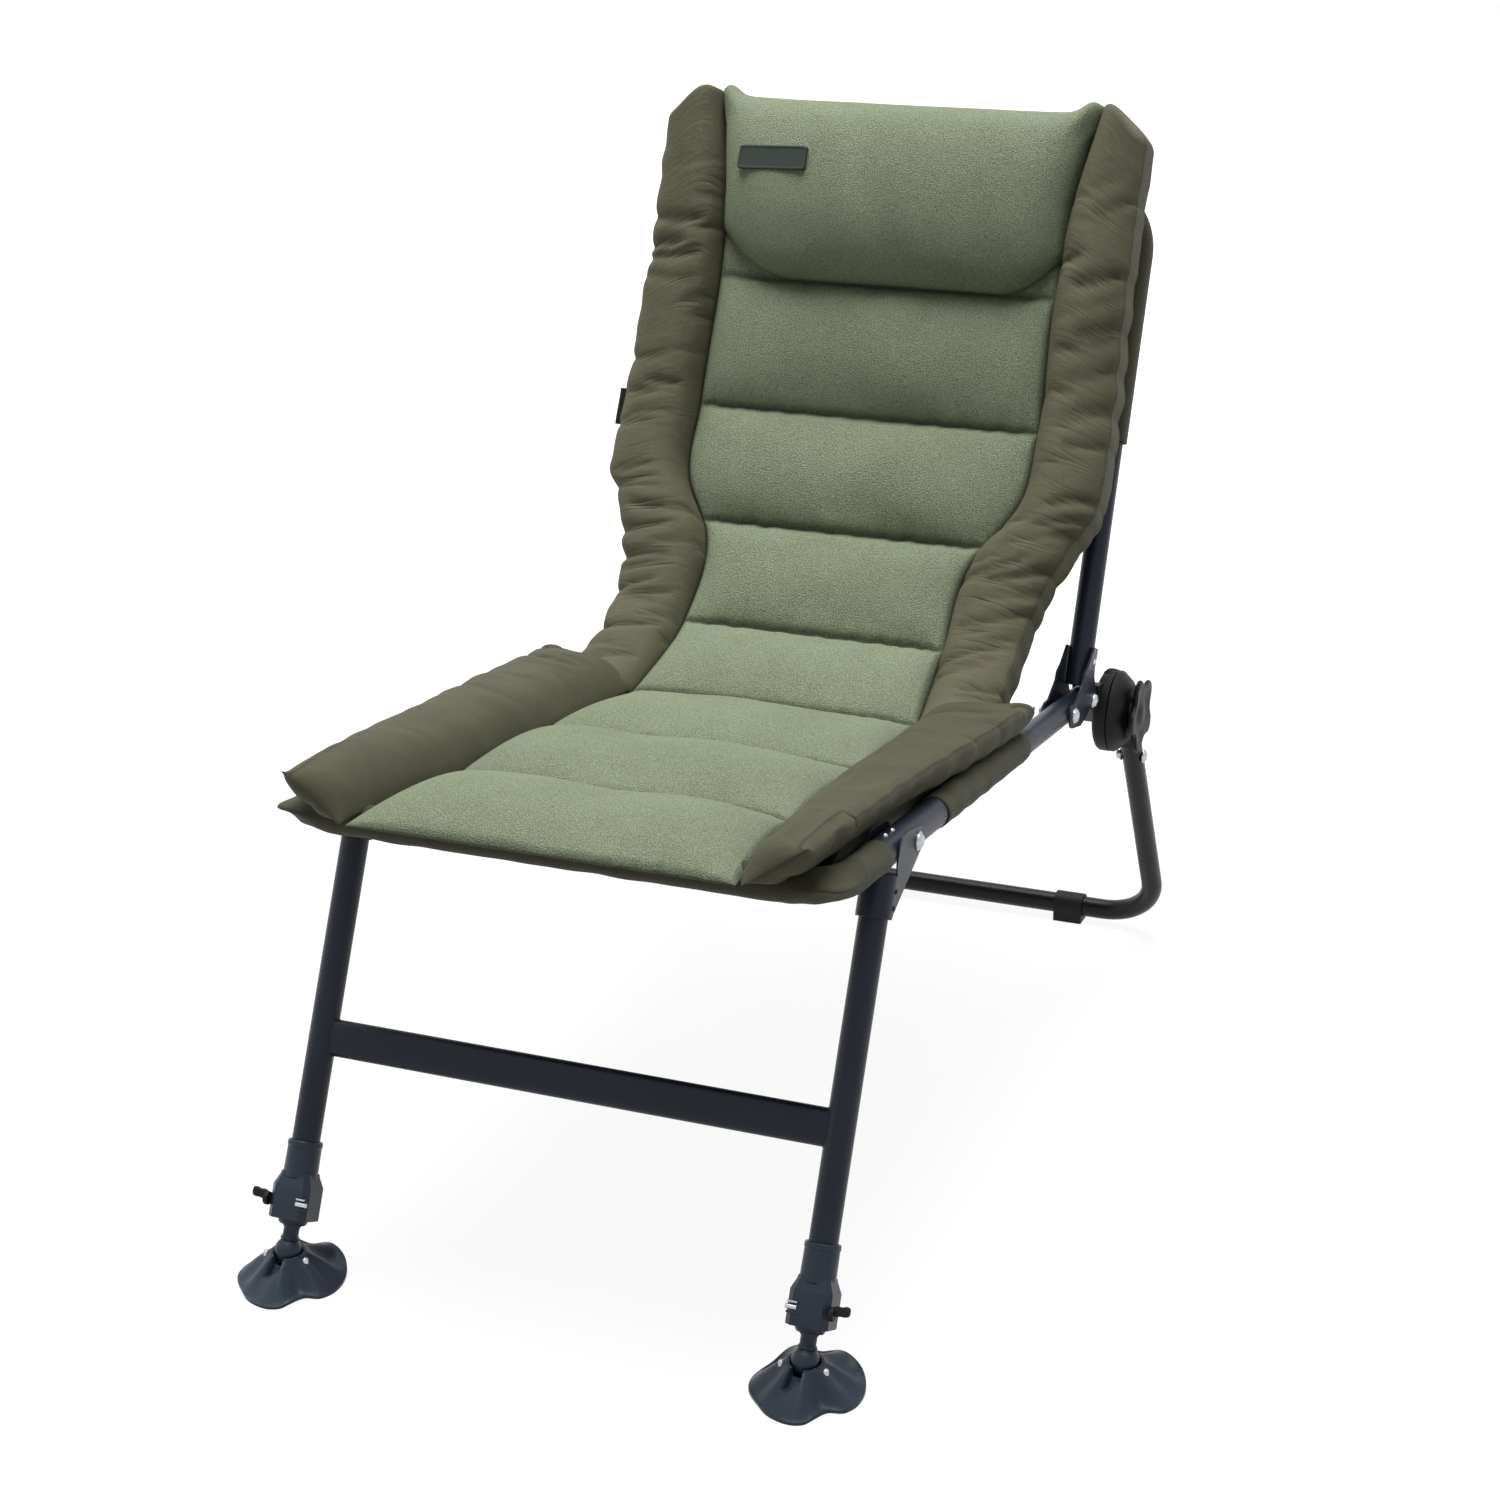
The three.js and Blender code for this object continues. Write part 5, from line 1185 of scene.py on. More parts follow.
def make_mattress():
    """Fleece pad in one length from the front edge to the headrest. Across it the top rises
    from a seam at each edge, as the root of one less the fifth power of the distance from the
    middle; along it each channel's crown is a power of half a sine wave between two seams,
    and the cloth sinks to a seam in an exponential curve."""
    columns, per_channel = 60, 22
    share = eased(np.arange(per_channel) / per_channel, 0.65)
    line = PAD_KNOTS[:PAD_SEAMS + 1]
    along = (line[:-1, None] + np.diff(line)[:, None] * share).ravel()
    along = np.append(along, line[-1])
    u = dense_at_ends(columns, 0.94)
    crown = swell_at(along)
    half = fleece_half(along)
    edge = np.maximum(1 - np.abs(u) ** 5, 0) ** 0.5
    x = half[:, None] * u
    seam_distance = np.min(np.abs(along[:, None] - line), axis=1)
    inside = smooth_step(seam_distance, 0, 30)[:, None]
    near = (np.exp(-seam_distance / 10) * (1 - np.exp(-seam_distance / 2)))[:, None]
    rise = (2 + crown - 4 * np.exp(-seam_distance / 5))[:, None] * edge
    rise = rise + 2.0 * near * edge * ripple(x, 15)
    rise = rise + 1.2 * edge * inside * ripple(x + 0.3 * along[:, None], 130)
    ends = ((along > 0) & (along < line[-1]))[:, None]
    shift = np.where(ends, 1.1 * ripple(x, 22) * np.exp(-seam_distance / 20)[:, None], 0) * edge
    place, front = pad_frame((along[:, None] + shift).ravel())
    place, front = place.reshape(*x.shape, 2), front.reshape(*x.shape, 2)
    depth = pad_depth(along)[:, None] * (np.abs(u) < 1)
    top = points_on_pad(place, front, x, rise * ends)
    low = points_on_pad(place, front, x, -depth * ends)
    points = np.concatenate([top, low[:, ::-1]], axis=1)
    spread = np.broadcast_to(along[:, None] * FLEECE_GROWTH, x.shape)
    rest = np.stack([x * FLEECE_GROWTH, spread, rise], -1)
    rest = np.concatenate([rest, rest[:, ::-1]], axis=1)
    held = (seam_distance < 0.1)[:, None] | (np.abs(u) > 0.999)
    pins = np.concatenate([held, np.ones_like(held)], axis=1)
    to_seam = np.minimum(seam_distance[:, None], (1 - np.abs(u)) * half[:, None])
    seams = np.concatenate([to_seam, to_seam[:, ::-1]], axis=1)
    return soft_piece("centre_pad", points, "fleece", (6.5, 6.5), ROW, False, rest, pins, seams)


def points_on_pad(place, front, x, height):
    """Points in the frame at x across and a height in front of the stitched line."""
    height = np.broadcast_to(height, x.shape)
    return np.stack([x, *(place + front * height[..., None]).transpose(2, 0, 1)], -1)


# Back bolsters: half width outside and rise in front, at heights up the back
OUTER_PLACES = [3, 3.35, 3.8, 4.6, 5.05, 5.3, 5.6, 6, 7, 7.7, 8, 9]
OUTER_VALUES = [226, 220, 216, 225, 243, 259, 262, 261, 257, 256, 257, 258]
RISE_PLACES = [3, 3.5, 4.3, 5.0, 5.6, 6.5, 7.4, 8, 9]
RISE_VALUES = [20, 23, 29, 36, 38, 38, 38, 36, 33]
CHAMFER = 34

# Cloth cut longer than its place, as shares of its length
BOLSTER_GROWTH = 1.02
BOLSTER_WIDTH_GROWTH = 1.03
SEAT_ROLL_GROWTH = 1.02
SEAT_ROLL_WIDTH_GROWTH = 1.07
FLEECE_GROWTH = 1.03
CLOTH_FRAMES = 20
PRESSURE = 4.0
# Depth at which a crease counts as one of the deepest
DEEP_CREASE = 7
# Height of the headrest's lower seam and of its top, and its half width, up the back
PILLOW_LOW, PILLOW_TOP, PILLOW_HALF = 410, 602, 186

# Section of a back bolster: share across from the fleece to its outer seam, share of its rise
# above the stitched line or of its depth below it
BOLSTER_SECTION = [
    (0, 0), (0.05, 0.42), (0.16, 0.78), (0.34, 0.97), (0.55, 1.0), (0.78, 0.9), (0.93, 0.72),
    (1.0, 0.52), (1.012, 0.2), (1.0, -0.35), (0.97, -0.85), (0.9, -1), (0.5, -1), (0.1, -1),
    (0.0, -0.8), (-0.01, -0.4),
]
OUTER_SEAM = (1.0, 0.52)


def closed_curve(pairs, count):
    """Even points on a smooth closed curve through pairs, starting at the first."""
    pairs = np.array(pairs, float)
    ring = np.concatenate([pairs[-2:], pairs, pairs[:3]])
    steps = np.linalg.norm(np.diff(ring, axis=0), axis=1) + 1e-6
    knots = np.concatenate([[0], np.cumsum(steps)])
    at = np.linspace(knots[2], knots[2 + len(pairs)], count, endpoint=False)
    return curve(knots, ring, at)


# Gathers of the back bolsters, by height up the back, and of the seat rolls, by length along
# the seat: place, creases, their spacing, their depth
BACK_GATHERS = [
    (520, 1, 9, 1.6), (488, 2, 10, 2.6), (444, 4, 12, 5.2), (398, 1, 9, 2.2), (368, 2, 13, 3.6),
    (322, 2, 11, 3.0), (283, 2, 10, 4.2), (243, 2, 13, 2.8), (178, 3, 12, 4.4), (137, 3, 12, 4.8),
    (96, 3, 13, 5.2), (48, 3, 13, 4.6), (4, 3, 13, 4.4), (-42, 2, 13, 3.8),
]
SEAT_GATHERS = [
    (118, 1, 9, 1.4), (214, 1, 9, 1.3), (292, 1, 9, 1.8), (345, 2, 13, 2.2),
    (402, 2, 13, 2.8), (446, 2, 12, 3.4), (478, 2, 9, 3.0),
]


def crease_lines(gathers, origin, lean):
    """Creases of some gathers: place along, slope, depth, width, and the span across in which
    each shows, all a little uneven."""
    lines = []
    for place, count, spacing, depth in gathers:
        for number in range(count):
            low = random.choice([-0.4, -0.3, 0.05, 0.2, 0.3])
            at = origin + place + (number - (count - 1) / 2) * spacing + random.uniform(-2.5, 2.5)
            slope = lean + random.uniform(-13, 13)
            deep = 1.6 * depth * random.uniform(0.5, 1.1)
            lines.append((
                at, slope, deep, random.uniform(4, 6.5), low, low + random.uniform(0.65, 1.3),
            ))
    return lines


def creased(along, across, lines):
    """Depth of the creases below the plain cloth, the length of cloth they take up, and where
    their sharp valleys run. A crease is a valley that the cloth leaves in an exponential
    curve on both sides, and that wanders a little on its way across."""
    depth, taken = np.zeros(along.shape), np.zeros(along.shape)
    core = np.zeros(along.shape, bool)
    for at, slope, deep, width, low, high in lines:
        offset = along - at - slope * (across - 0.5) - 2.2 * np.sin(7 * across + at)
        fade = smooth_step(across, low, low + 0.25) * (1 - smooth_step(across, high - 0.25, high))
        depth = np.maximum(depth, deep * np.exp(-np.abs(offset) / width) * fade)
        taken += deep * (0.4 + 0.6 * fade) * smooth_step(offset, -9, 9)
        core |= (np.abs(offset) < 1.9) & (fade > 0.3)
    return depth, taken, core


def drawn_shut(points, rows):
    """Rows of a closed section drawn in towards their middles by the shares given."""
    middle = points.mean(axis=1, keepdims=True)
    for row, keep in rows:
        points[row] = middle[row] + (points[row] - middle[row]) * keep
    return points


def make_back_bolster(tag, mirrored):
    """Boxed bolster outside the fleece: a closed section carried up the stitched line. Its
    shares across run from the fleece's edge to the outer curve, and its shares of height are
    of the rise in front, less the creases, and of the pads' depth behind."""
    rows, columns = 190, 56
    start = PAD_KNOTS[CREASE] - 16
    v = np.linspace(0, 1, rows)
    section = closed_curve(BOLSTER_SECTION, columns)
    share, level = section[:, 0], section[:, 1]
    across = np.clip(share, 0, 1)[None, :]
    length = PAD_LENGTH - start - CHAMFER * smooth_step(across, 0.1, 1)
    along = start + v[:, None] * length
    place, front = pad_frame(along.ravel())
    place, front = place.reshape(*along.shape, 2), front.reshape(*along.shape, 2)
    stop = np.interp(along, PAD_KNOTS, np.arange(len(PAD_KNOTS)))
    inner = fleece_half(along) + 0.6
    outer = curve(OUTER_PLACES, OUTER_VALUES, stop)
    rise = curve(RISE_PLACES, RISE_VALUES, stop)
    height = np.where(level >= 0, level * rise, level * pad_depth(along))
    x = inner + share * (outer - inner)
    plain = height
    top_side = smooth_step(level, -0.2, 0.35)[None, :]
    lines = crease_lines(BACK_GATHERS, PAD_KNOTS[HEADREST] - PILLOW_LOW, -9 if mirrored else 22)
    depth, taken, core = creased(along, np.broadcast_to(across, along.shape), lines)
    height = height - depth * top_side
    x = x + (0.8 * ripple(along, 40) - 0.6 * depth) * smooth_step(share, 0.7, 1.0)
    points = points_on_pad(place, front, x, height)
    points = drawn_shut(points, ((0, 0.0), (1, 0.55), (2, 0.82), (-1, 0.0), (-2, 0.8), (-3, 0.95)))
    rest = np.stack([x * BOLSTER_WIDTH_GROWTH, along * BOLSTER_GROWTH + taken, plain], -1)
    loop = np.arange(columns)
    outer_seam = np.argmin(np.hypot(share - OUTER_SEAM[0], level - OUTER_SEAM[1]))
    held = (level < -0.5) | (np.minimum(loop, columns - loop) < 1) | (loop == outer_seam)
    pins = held[None, :] | (core & (level > 0.2)[None, :])
    pins[:2] = pins[-2:] = True
    wide, tall = outer - inner, 30
    to_inner = np.hypot(share * wide, level * tall)
    to_outer = np.hypot((share - OUTER_SEAM[0]) * wide, (level - OUTER_SEAM[1]) * tall)
    # Strength of the painted shade in the deepest creases.
    creases = (depth / DEEP_CREASE) ** 2 * top_side
    return soft_piece(
        f"back_roll_{tag}", points, "bolster", (5, 4), ROW, mirrored, rest, pins,
        np.minimum(to_inner, to_outer), creases,
    )


def make_seat_bolster(tag, mirrored):
    """Roll along the seat's side, on the rail's sleeve: crowned above, with a wall that leans
    in below its outer seam, drawn to a slanting seam at its front end and to a tip over the
    back bolster's foot."""
    rows, columns = 150, 56
    front, rear = -38, 514
    along = front + (rear - front) * np.linspace(0, 1, rows)
    stops = [front, 131, 306, 484, 490, rear]
    inner = np.interp(along, stops, [177.6, 160.6, 158.6, 150, 215, 232])[:, None]
    stops = [front, 40, 131, 200, 306, 400, 484, rear]
    outer = curve(stops, [238, 241, 243, 244, 250, 253, 256, 256], along)[:, None]
    tops = curve(stops, [46, 50, 51, 50, 48, 46, 44, 41], along)[:, None]
    foot = curve(stops, [222, 226, 228, 230, 240, 246, 248, 246], along)[:, None]
    on_sleeve = np.full_like(inner, 15.0)
    wide = outer - inner
    panel = ((along > 60) & (along < 470))[:, None]
    dip = np.where(panel, -11.5, 8.0)
    inner_foot = np.minimum(foot - 6, 222.0)
    ring = [
        (inner, 9 + 0 * inner), (inner + 0.06 * wide, 0.48 * tops),
        (inner + 0.2 * wide, 0.8 * tops), (inner + 0.42 * wide, 0.97 * tops),
        (inner + 0.68 * wide, tops), (inner + 0.9 * wide, 0.965 * tops), (outer, 0.88 * tops),
        (outer + 1.0, 0.78 * tops), ((outer + foot) / 2 + 3, (0.78 * tops + 15) / 2),
        (foot + 1, on_sleeve + 1.5), (foot - 3, on_sleeve), (inner_foot, np.minimum(15, dip + 10)),
        (inner_foot - 8, dip), (inner + 4, dip), (inner, (dip + 9) / 2),
    ]
    ring = np.stack([np.concatenate(pair, axis=1) for pair in ring], axis=1)
    section = np.stack([closed_curve(pairs, columns) for pairs in ring])
    # At each end the section is drawn to a line, there and back, in a quarter circle's curve
    line = 1 - np.abs(2 * np.linspace(0, 1, columns, endpoint=False) - 0.96)
    line = np.clip(line, 0, 1)[:, None]
    for start, end, distance, reach in (
        (np.array((181, 6)), np.array((238, 47)), along - front, 24),
        (np.array((235, 20)), np.array((254, 37)), rear - along, 18),
    ):
        near = 1 - np.sqrt(np.clip(1 - (1 - np.clip(distance / reach, 0, 1)) ** 2, 0, 1))
        section = section + (start + (end - start) * line - section) * near[:, None, None]
    points = np.zeros((rows, columns, 3))
    points[..., 0], points[..., 2] = section[..., 0], section[..., 1]
    points[..., 1] = along[:, None]
    upper = smooth_step(section[..., 1], 14, 30)
    across = np.clip((section[..., 0] - inner) / wide, 0, 1)
    lines = crease_lines(SEAT_GATHERS, 0, 14)
    depth, taken, core = creased(np.broadcast_to(along[:, None], across.shape), across, lines)
    rest = points * (SEAT_ROLL_WIDTH_GROWTH, SEAT_ROLL_GROWTH, 1)
    rest[..., 1] += taken
    points[..., 2] += upper * (0.5 * ripple(points[..., 1] + 0.4 * points[..., 0], 80) - depth)
    points[..., 0] -= 0.4 * depth * smooth_step(across, 0.7, 1)
    points[..., 0] += 1.0 * ripple(along, 60)[:, None] * smooth_step(across, 0.6, 1)
    loop = np.arange(columns)
    outer_seam = int(np.argmin(np.hypot(*(section[60] - ring[60, 6]).T)))
    pins = (section[..., 1] < 17) | (loop == 0) | (loop == outer_seam) | (core & (upper > 0.7))
    pins |= ((along < front + 3) | (along > rear - 3))[:, None]
    to_seam = np.minimum(
        np.hypot(section[..., 0] - inner, section[..., 1] - 9),
        np.linalg.norm(section - section[:, outer_seam:outer_seam + 1], axis=-1),
    )
    to_seam = np.minimum(to_seam, (along - front)[:, None])
    # Strength of the painted shade in the deepest creases.
    creases = (depth / DEEP_CREASE) ** 2 * upper
    # The rolls wear the seat_roll nylon, whose darker colour is painted shade.
    return soft_piece(
        f"seat_roll_{tag}", points, "seat_roll", (5, 4.5), SEAT, mirrored, rest, pins, to_seam,
        creases,
    )


# The headrest's section, out from the back and up it: its front from the lower seam over the
# top, and its rear between the same two ends
PILLOW_FRONT = [
    (0, 410), (-17, 414), (-31, 430), (-43, 466), (-47, 506), (-44, 545), (-34, 578), (-15, 597),
    (8, 602), (24, 598),
]
PILLOW_REAR = [
    (2, 410), (5, 420), (6, 436), (6, 470), (6, 506), (6, 545), (8, 570), (12, 585), (18, 594),
    (24, 598),
]


def make_headrest():
    """Pillow in front of the top of the fleece: a front line from its curved lower seam over
    its top, carried across between the fleece's edge seams. Its lower seam rises at both
    ends with the square of the distance, and its top corners are drawn out to blunt points."""
    rows, columns = 110, 44
    low_z, top_z, half_x = PILLOW_LOW, PILLOW_TOP, PILLOW_HALF
    t = eased(np.linspace(0, 1, columns), 0.4)
    knots = np.linspace(0, 1, len(PILLOW_FRONT))
    fore, aft = curve(knots, PILLOW_FRONT, t), curve(knots, PILLOW_REAR, t)
    u = dense_at_ends(rows, 0.95)
    x0 = u * half_x
    over = np.where(x0 < 0, (-x0 - 100) / (half_x - 100), (x0 - 126) / (half_x - 126))
    low = low_z + np.where(x0 < 0, 48, 38) * np.maximum(0, over) ** 2
    low, u = low[:, None], u[:, None]
    edge = np.maximum(1 - np.abs(u) ** 6, 0) ** 0.5
    corner = np.exp(-((np.abs(u) - 0.95) / 0.055) ** 2)
    loop = np.concatenate([fore, aft[::-1]])
    z = low + (loop[None, :, 1] - low_z) / (top_z - low_z) * (top_z - low)
    near_top = smooth_step(z, 570, top_z)
    z = z + 8 * corner * near_top - 4 * near_top * (1 - np.abs(u) ** 6)
    half = np.interp(z, [low_z, 500, 560, top_z], [183, 187, 196, 206])
    y = 3 + (loop[None, :, 0] - 3) * edge
    y = y - 7 * corner * near_top
    bulge = np.clip(-y / 40, 0, 1)
    y = y + 1.2 * bulge * ripple(u * 200 + z * 0.4, 90)
    points = np.stack([half * u * 0.995, y, z], -1)
    in_front = np.arange(2 * columns) < columns
    pins = ~in_front[None, :] | (np.abs(u) > 0.999) | (z < low + 0.5)
    seams = np.minimum(np.hypot(z - low, y), (1 - np.abs(u)) * half + 40 * near_top)
    rest = points * FLEECE_GROWTH
    return soft_piece("headrest", points, "fleece", (4.3, 5), BACK, False, rest, pins, seams)


def make_soft_pieces():
    mattress = make_mattress()
    settled(mattress, stiffness=8, bending=1.5, cap=5)
    pillow = make_headrest()
    settled(pillow, stiffness=8, bending=1.5, cap=5)
    make_trim(pillow)
    rolls = []
    for tag, mirrored in SIDES:
        back_roll, seat_roll = make_back_bolster(tag, mirrored), make_seat_bolster(tag, mirrored)
        settled(back_roll, stiffness=10, bending=0.05, cap=9)
        settled(seat_roll, stiffness=10, bending=0.1, cap=9)
        rolls.append((tag, back_roll, seat_roll))
    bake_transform(mattress)
    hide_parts("seat_cushion", "back_cushion")
    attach(pillow, "backrest")
    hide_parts("headrest_pillow")
    for tag, back_roll, seat_roll in rolls:
        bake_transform(back_roll)
        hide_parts(f"back_bolster_{tag}")
        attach(seat_roll, "seat")
        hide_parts(f"seat_bolster_{tag}")


# Sheets

SHEET_WALL = 1.1
COVER_HEM = 280


def sheet_piece(name, grids, spacing, axes, body, node):
    """A sheet of cloth with a thin wall, made of open grids."""
    parts = [grid(points) for points in grids]
    uv = np.concatenate([corner_uv(points, spacing, False).reshape(-1, 2) for points in grids])
    mesh = mesh_of(name, parts, axes, False, uv, merge=False)
    mesh.shade_smooth()
    mesh.materials.append(materials["sheet"])
    obj = linked(name, mesh)
    wall = obj.modifiers.new("wall", "SOLIDIFY")
    wall.thickness = SHEET_WALL * MM
    wall.offset = 0
    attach(obj, body)
    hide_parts(node)


def sleeve_section(reach, count=30):
    """Cloth round a tube from inside over the top, out to a flap's edge, and back below."""
    angle = np.radians(np.linspace(200, -95, count))
    out = np.maximum(np.cos(angle), 0)
    r = SLEEVE_RADIUS * np.cos(angle) + (reach[:, None] - SLEEVE_RADIUS) * out ** 4
    z = np.broadcast_to(SLEEVE_RADIUS * np.sin(angle), r.shape)
    return r, z


def make_seat_sheet():
    """Cloth pocket round the front of the seat frame with square corners, sleeves on the rails
    behind the legs, and a panel under the pads."""
    x, bend, (end, restart), rear = RAIL_X, RAIL_BEND, SLEEVE_GAP, 492
    turn = np.linspace(0, np.pi / 2, 24)
    left = np.stack([np.full(7, -x), np.linspace(end, bend, 8)[:-1]], -1)
    middle = np.stack([np.linspace(-x + bend, x - bend, 50)[1:-1], np.zeros(48)], -1)
    left_out = np.stack([-np.cos(turn), -np.sin(turn)], -1)
    right_out = np.stack([np.sin(turn), -np.cos(turn)], -1)
    places = np.concatenate([
        left, (bend - x, bend) + bend * left_out, middle, (x - bend, bend) + bend * right_out,
        left[::-1] * (-1, 1),
    ])
    out = np.concatenate([
        np.tile([(-1.0, 0.0)], (7, 1)), left_out, np.tile([(0.0, -1.0)], (48, 1)), right_out,
        np.tile([(1.0, 0.0)], (7, 1)),
    ])
    square, blunt = bend + SLEEVE_RADIUS + 1, 10
    corner = square * (np.abs(out) ** blunt).sum(1) ** (-1 / blunt) - bend
    is_bend = (np.abs(out) > 1e-6).all(axis=1)
    reach = np.where(is_bend, corner, SLEEVE_RADIUS + 0.3)
    r, z = sleeve_section(reach)
    flap = smooth_step(r, SLEEVE_RADIUS, SLEEVE_RADIUS + 14)
    z = z * (1 - 0.55 * flap) + 4 * flap
    z = z + 0.5 * ripple(np.arange(len(places))[:, None] * 6.0 + z, 45)
    band = np.zeros((*r.shape, 3))
    band[..., 0] = places[:, None, 0] + r * out[:, None, 0]
    band[..., 1] = places[:, None, 1] + r * out[:, None, 1]
    band[..., 2] = z
    grids = [band]
    for side in (-1, 1):
        s = np.linspace(restart, rear, 34)
        r, z = sleeve_section(np.full(len(s), SLEEVE_RADIUS + 0.4))
        r = r + 0.4 * ripple(s, 30)[:, None]
        sleeve = np.stack([side * (x + r), np.broadcast_to(s[:, None], r.shape), z], -1)
        grids.append(sleeve[::side])
    s, u = np.meshgrid(np.linspace(0, 484, 60), np.linspace(-1, 1, 50), indexing="ij")
    round_in = np.sqrt(np.maximum(bend ** 2 - (bend - s) ** 2, 0))
    wide = np.where((s > end) & (s < restart), 226, np.where(s < bend, x - bend + round_in, x))
    grids.append(np.stack([u * wide, s, np.full_like(s, -13.7)], -1))
    sheet_piece(
        "seat_pocket", grids, (8, 8), SEAT, "seat", "seat_base_sheet",
    )


def tube_distance(x, z, half, top, bend):
    """Distance outside the middle line of an upside-down U tube with round corners."""
    dx, dz = np.abs(x) - (half - bend), z - (top - bend)
    corner = np.hypot(np.maximum(dx, 0), np.maximum(dz, 0)) - bend
    return corner + np.minimum(np.maximum(dx, dz), 0)


def make_back_sheet():
    """Cloth pocket over the top of the back frame: front and rear faces that close round the
    tube, drawn in a little between its two sides, with a hem below."""
    half, top, clear = RAIL_X, BACK_TOP, SLEEVE_RADIUS + 0.9
    hem, bend = COVER_HEM, BACK_BEND + clear
    rows, columns = 70, 80
    v = np.sin(np.pi / 2 * np.linspace(0, 1, rows))
    z = hem + (top + clear - hem) * v
    over = np.maximum(z - (top + clear - bend), 0)
    wide = half + clear - bend + np.sqrt(np.maximum(bend ** 2 - over ** 2, 0))
    u = np.sin(np.pi / 2 * np.linspace(-1, 1, columns))
    x, zz = wide[:, None] * u, np.broadcast_to(z[:, None], (rows, columns))
    distance = tube_distance(x, zz, half, top, BACK_BEND)
    outside = np.clip(distance / clear, 0, 1)
    half_depth = clear * (1 - outside ** 2.6) ** 0.42
    sag = 5.0 * smooth_step(-distance, 20, 190)
    pucker = 0.8 * ripple(x * 0.5 + zz * 0.5, 70) * smooth_step(-distance, -5, 60)
    faces = []
    for sign in (-1, 1):
        y = BACK_OFFSET + sign * (half_depth - sag * (1 if sign > 0 else 0)) + pucker
        faces.append(np.stack([x, y, zz], -1)[::-sign])
    sheet_piece(
        "back_pocket", faces, (7, 4), BACK, "backrest", "back_cover",
    )


# Small trim

def middle_of(low, high):
    """Middle of a box in the back's axes, and its length across, in millimetres."""
    middle = (BACK[1].T @ (np.array((low + high) / 2) - BACK[0])) / MM
    return middle, (high.x - low.x) / MM


def rest_on_pillow(pillow, x, z, reach):
    """The plane y = a + b x + c z that best fits the pillow's front round a place, in
    millimetres in the back's axes, sunk to where most of it touches."""
    points = (places_of(pillow.data) - BACK[0]) @ BACK[1] / MM
    near = (np.abs(points[:, 0] - x) < reach[0]) & (np.abs(points[:, 2] - z) < reach[1])
    spots = points[near & (points[:, 1] < -5)]
    table = np.stack([np.ones(len(spots)), spots[:, 0], spots[:, 2]], -1)
    fit = np.linalg.lstsq(table, spots[:, 1], rcond=None)[0]
    return fit - (float((table @ fit - spots[:, 1]).max()) * 0.6, 0, 0)


def make_trim(pillow):
    """Bare badge plate with a raised rim, and a bare folded tab in the bolster's seam."""
    middle, length = middle_of(*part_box("badge_plate"))
    middle = middle + (9, 0, -10)
    half_x, half_z = length / 2 + 2, 12.5
    plane = rest_on_pillow(pillow, middle[0], middle[2], (half_x, half_z))
    angle = round_angles(48)
    # The plate's rings: how far each is drawn in from its edge, and how far out it stands
    rings = []
    for inset, out in ((1, -1.5), (0, -1.5), (0, 1.4), (0.8, 2.2), (2.2, 2.2), (2.8, 1.6)):
        x = middle[0] + signed_power(np.cos(angle), 0.14) * (half_x - inset)
        z = middle[2] + signed_power(np.sin(angle), 0.14) * (half_z - inset)
        rings.append(np.stack([x, plane[0] + plane[1] * x + plane[2] * z - out, z], -1))
    plate = capped(np.array(rings))
    piece("headrest_plate", [plate], "badge", "backrest", ["badge_plate"], BACK, sharp=30)
    middle, wide = middle_of(*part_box("side_label"))
    tall = 38
    z = np.linspace(-tall / 2, tall / 2, 12)
    loop = np.array([
        (wide / 2, 0.9), (0, 1.1), (-wide / 2 + 1, 1.0), (-wide / 2, 0), (-wide / 2 + 1, -1.0),
        (0, -1.1), (wide / 2, -0.9),
    ])
    rows = np.zeros((len(z), len(loop), 3))
    rows[..., 0] = middle[0] + loop[:, 0] + 1 + 0.5 * np.sin(z / 9)[:, None]
    rows[..., 1] = middle[1] + loop[:, 1]
    rows[..., 2] = middle[2] + z[:, None]
    piece("side_tab", [capped(rows)], "label", "backrest", ["side_label"], BACK, sharp=60)


# Stage

# The camera's place in metres, its axes in the frame and its lens in millimetres, which give
# the chair the same view as its photo
CAMERA_PLACE = (1.01257, -2.4102, 1.38884)
CAMERA_RIGHT = (0.92527, 0.37901, -0.01576)
CAMERA_UP = (-0.12487, 0.34355, 0.93081)
CAMERA_BACK = (0.35819, -0.85927, 0.36520)
CAMERA_LENS = 70.99
SENSOR = 36
LAMP_TARGET = Vector((0, 0, 0.45))
# Half the floor's side, the distances from the middle at which it starts to go to white and is
# all white, in metres, and the share of white near the chair
FLOOR_HALF = 8
WHITE_FROM, WHITE_ALL, WHITE_NEAR = 0.7, 1.8, 0.68


def make_camera():
    data = bpy.data.cameras.new("camera")
    data.lens = CAMERA_LENS
    data.sensor_width = SENSOR
    camera = linked("camera", data)
    turn = Matrix((CAMERA_RIGHT, CAMERA_UP, CAMERA_BACK)).transposed().to_4x4()
    camera.matrix_world = Matrix.Translation(CAMERA_PLACE) @ turn
    bpy.context.scene.camera = camera


def make_lamp(name, place, size, power):
    """A round soft lamp that faces the chair."""
    data = bpy.data.lights.new(name, "AREA")
    data.shape = "DISK"
    data.size = size
    data.energy = power
    lamp = linked(name, data)
    lamp.location = place
    lamp.rotation_mode = "QUATERNION"
    lamp.rotation_quaternion = (Vector(place) - LAMP_TARGET).to_track_quat("Z", "Y")


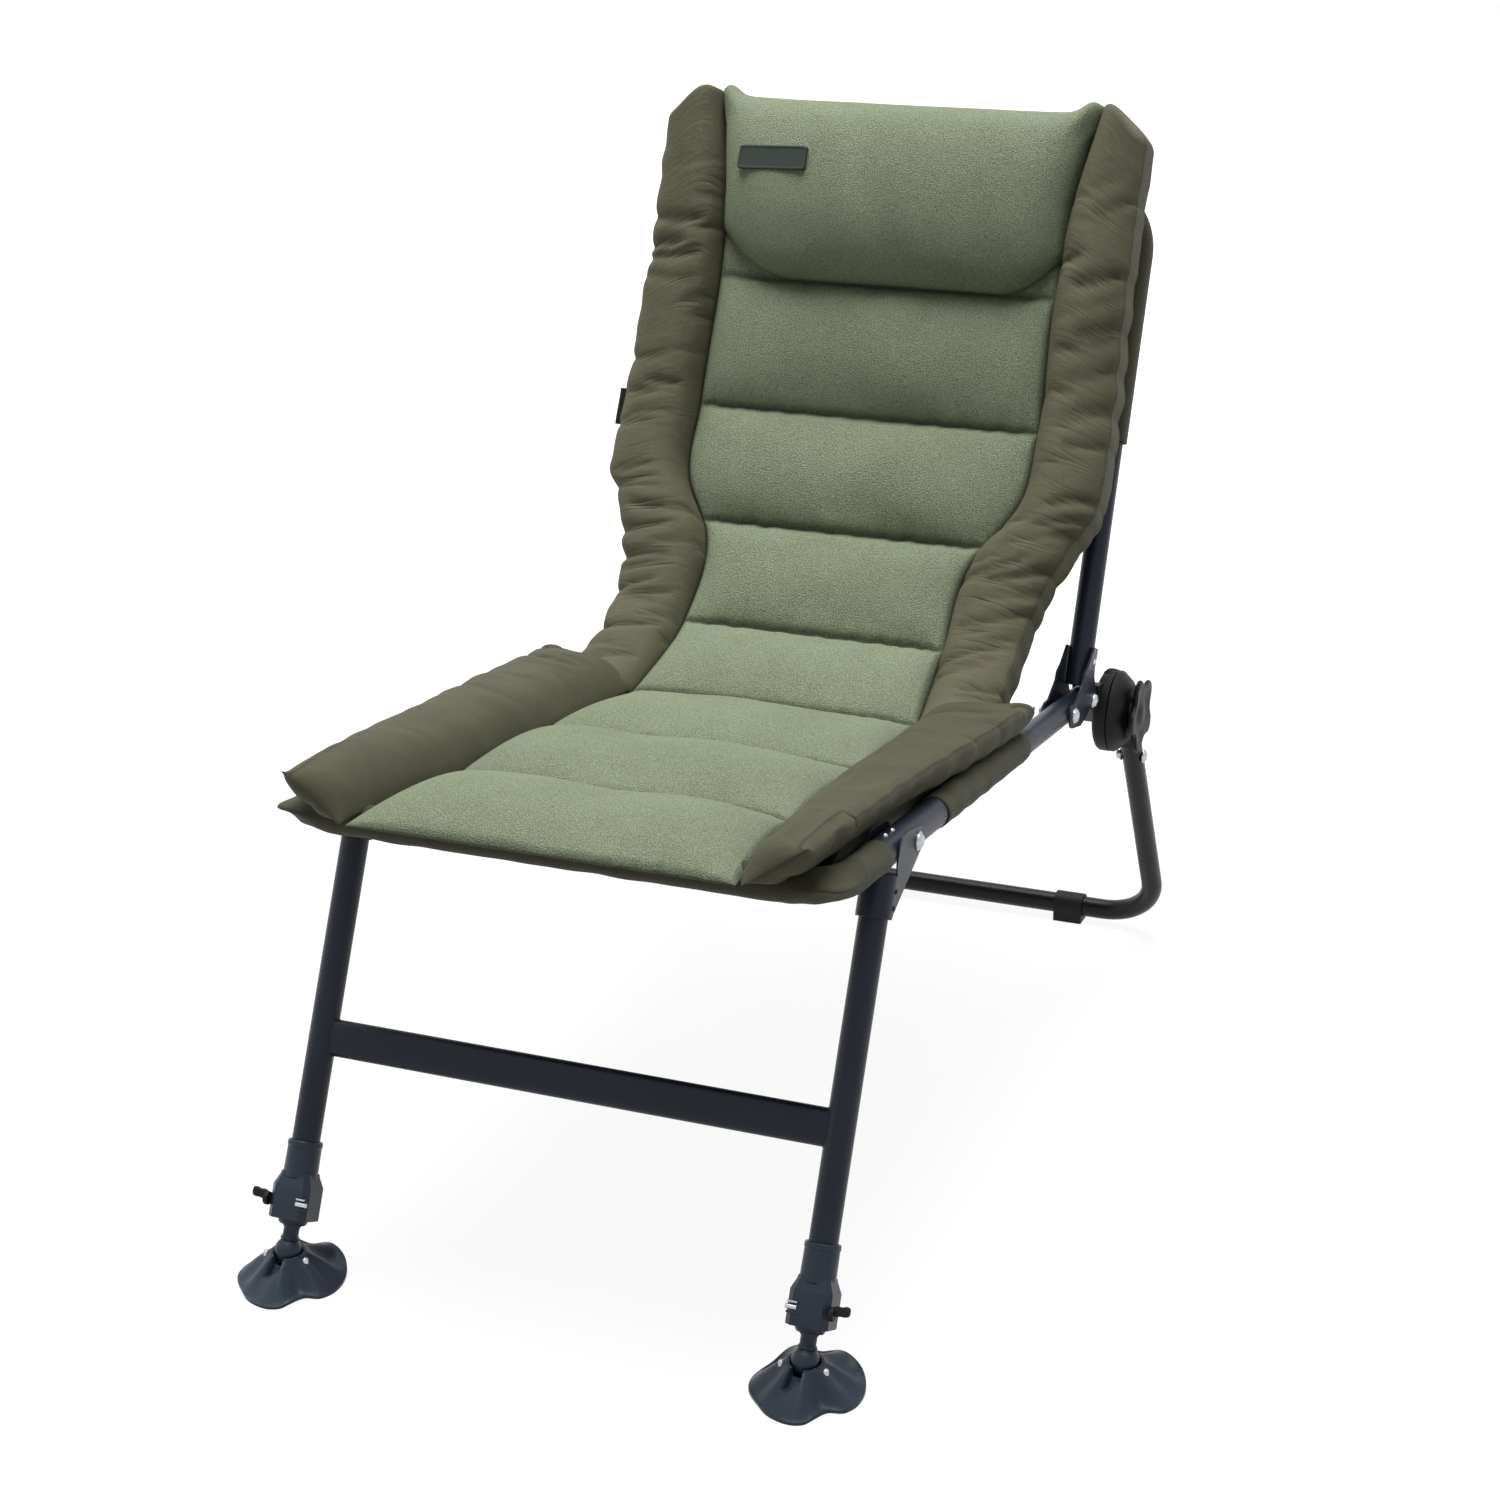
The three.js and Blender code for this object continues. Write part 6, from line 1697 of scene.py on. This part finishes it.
def white_to_camera(tree, shader, surface, share, strength):
    """Mixes plain white in for what the camera and mirror rays see, so that it shows white."""
    rays = add_node(tree, "ShaderNodeLightPath").outputs
    seen = math_node(tree, "MAXIMUM", rays["Is Camera Ray"], rays["Is Glossy Ray"])
    seen = math_node(tree, "MAXIMUM", seen, rays["Is Transmission Ray"])
    glow = add_node(tree, "ShaderNodeEmission", {"Color": WHITE, "Strength": strength})
    share = math_node(tree, "MULTIPLY", seen, share)
    mix = add_node(tree, "ShaderNodeMixShader", {0: share, 1: shader, 2: glow.outputs[0]})
    tree.links.new(mix.outputs[0], surface)


def make_floor():
    """A pale floor that keeps a faint shadow near the chair and goes to plain white further
    out."""
    mesh = bpy.data.meshes.new("floor")
    corners = [(x * FLOOR_HALF, y * FLOOR_HALF, 0) for x, y in ((-1, -1), (1, -1), (1, 1), (-1, 1))]
    mesh.from_pydata(corners, [], [(0, 1, 2, 3)])
    floor = linked("floor", mesh)
    made = bpy.data.materials.new("floor")
    made.use_nodes = True
    tree = made.node_tree
    shader = tree.nodes["Principled BSDF"]
    connect(tree, shader, {
        "Base Color": (0.4, 0.4, 0.4, 1), "Roughness": 0.9, "Specular IOR Level": 0.0,
    })
    place = add_node(tree, "ShaderNodeTexCoord").outputs["Object"]
    length = add_node(tree, "ShaderNodeVectorMath", {0: place}, operation="LENGTH").outputs["Value"]
    share = range_node(tree, length, WHITE_FROM, WHITE_ALL, WHITE_NEAR, 1.0)
    surface = tree.nodes["Material Output"].inputs["Surface"]
    white_to_camera(tree, shader.outputs[0], surface, share, strength=1.36)
    mesh.materials.append(made)


def make_stage():
    """The floor, a white surround and two soft lamps."""
    make_floor()
    world = bpy.data.worlds.new("studio")
    world.use_nodes = True
    tree = world.node_tree
    light = tree.nodes["Background"]
    connect(tree, light, {"Color": WHITE, "Strength": 0.19})
    surface = tree.nodes["World Output"].inputs["Surface"]
    white_to_camera(tree, light.outputs[0], surface, share=1.0, strength=1.0)
    bpy.context.scene.world = world
    make_lamp("top", (-0.3, 0.6, 5.5), size=3.9, power=380)
    make_lamp("side", (-2.6, -1.2, 1.6), size=1.6, power=5)


bpy.context.scene.view_settings.view_transform = "Standard"
make_camera()
make_stage()
make_hard_pieces()
make_soft_pieces()
make_seat_sheet()
make_back_sheet()
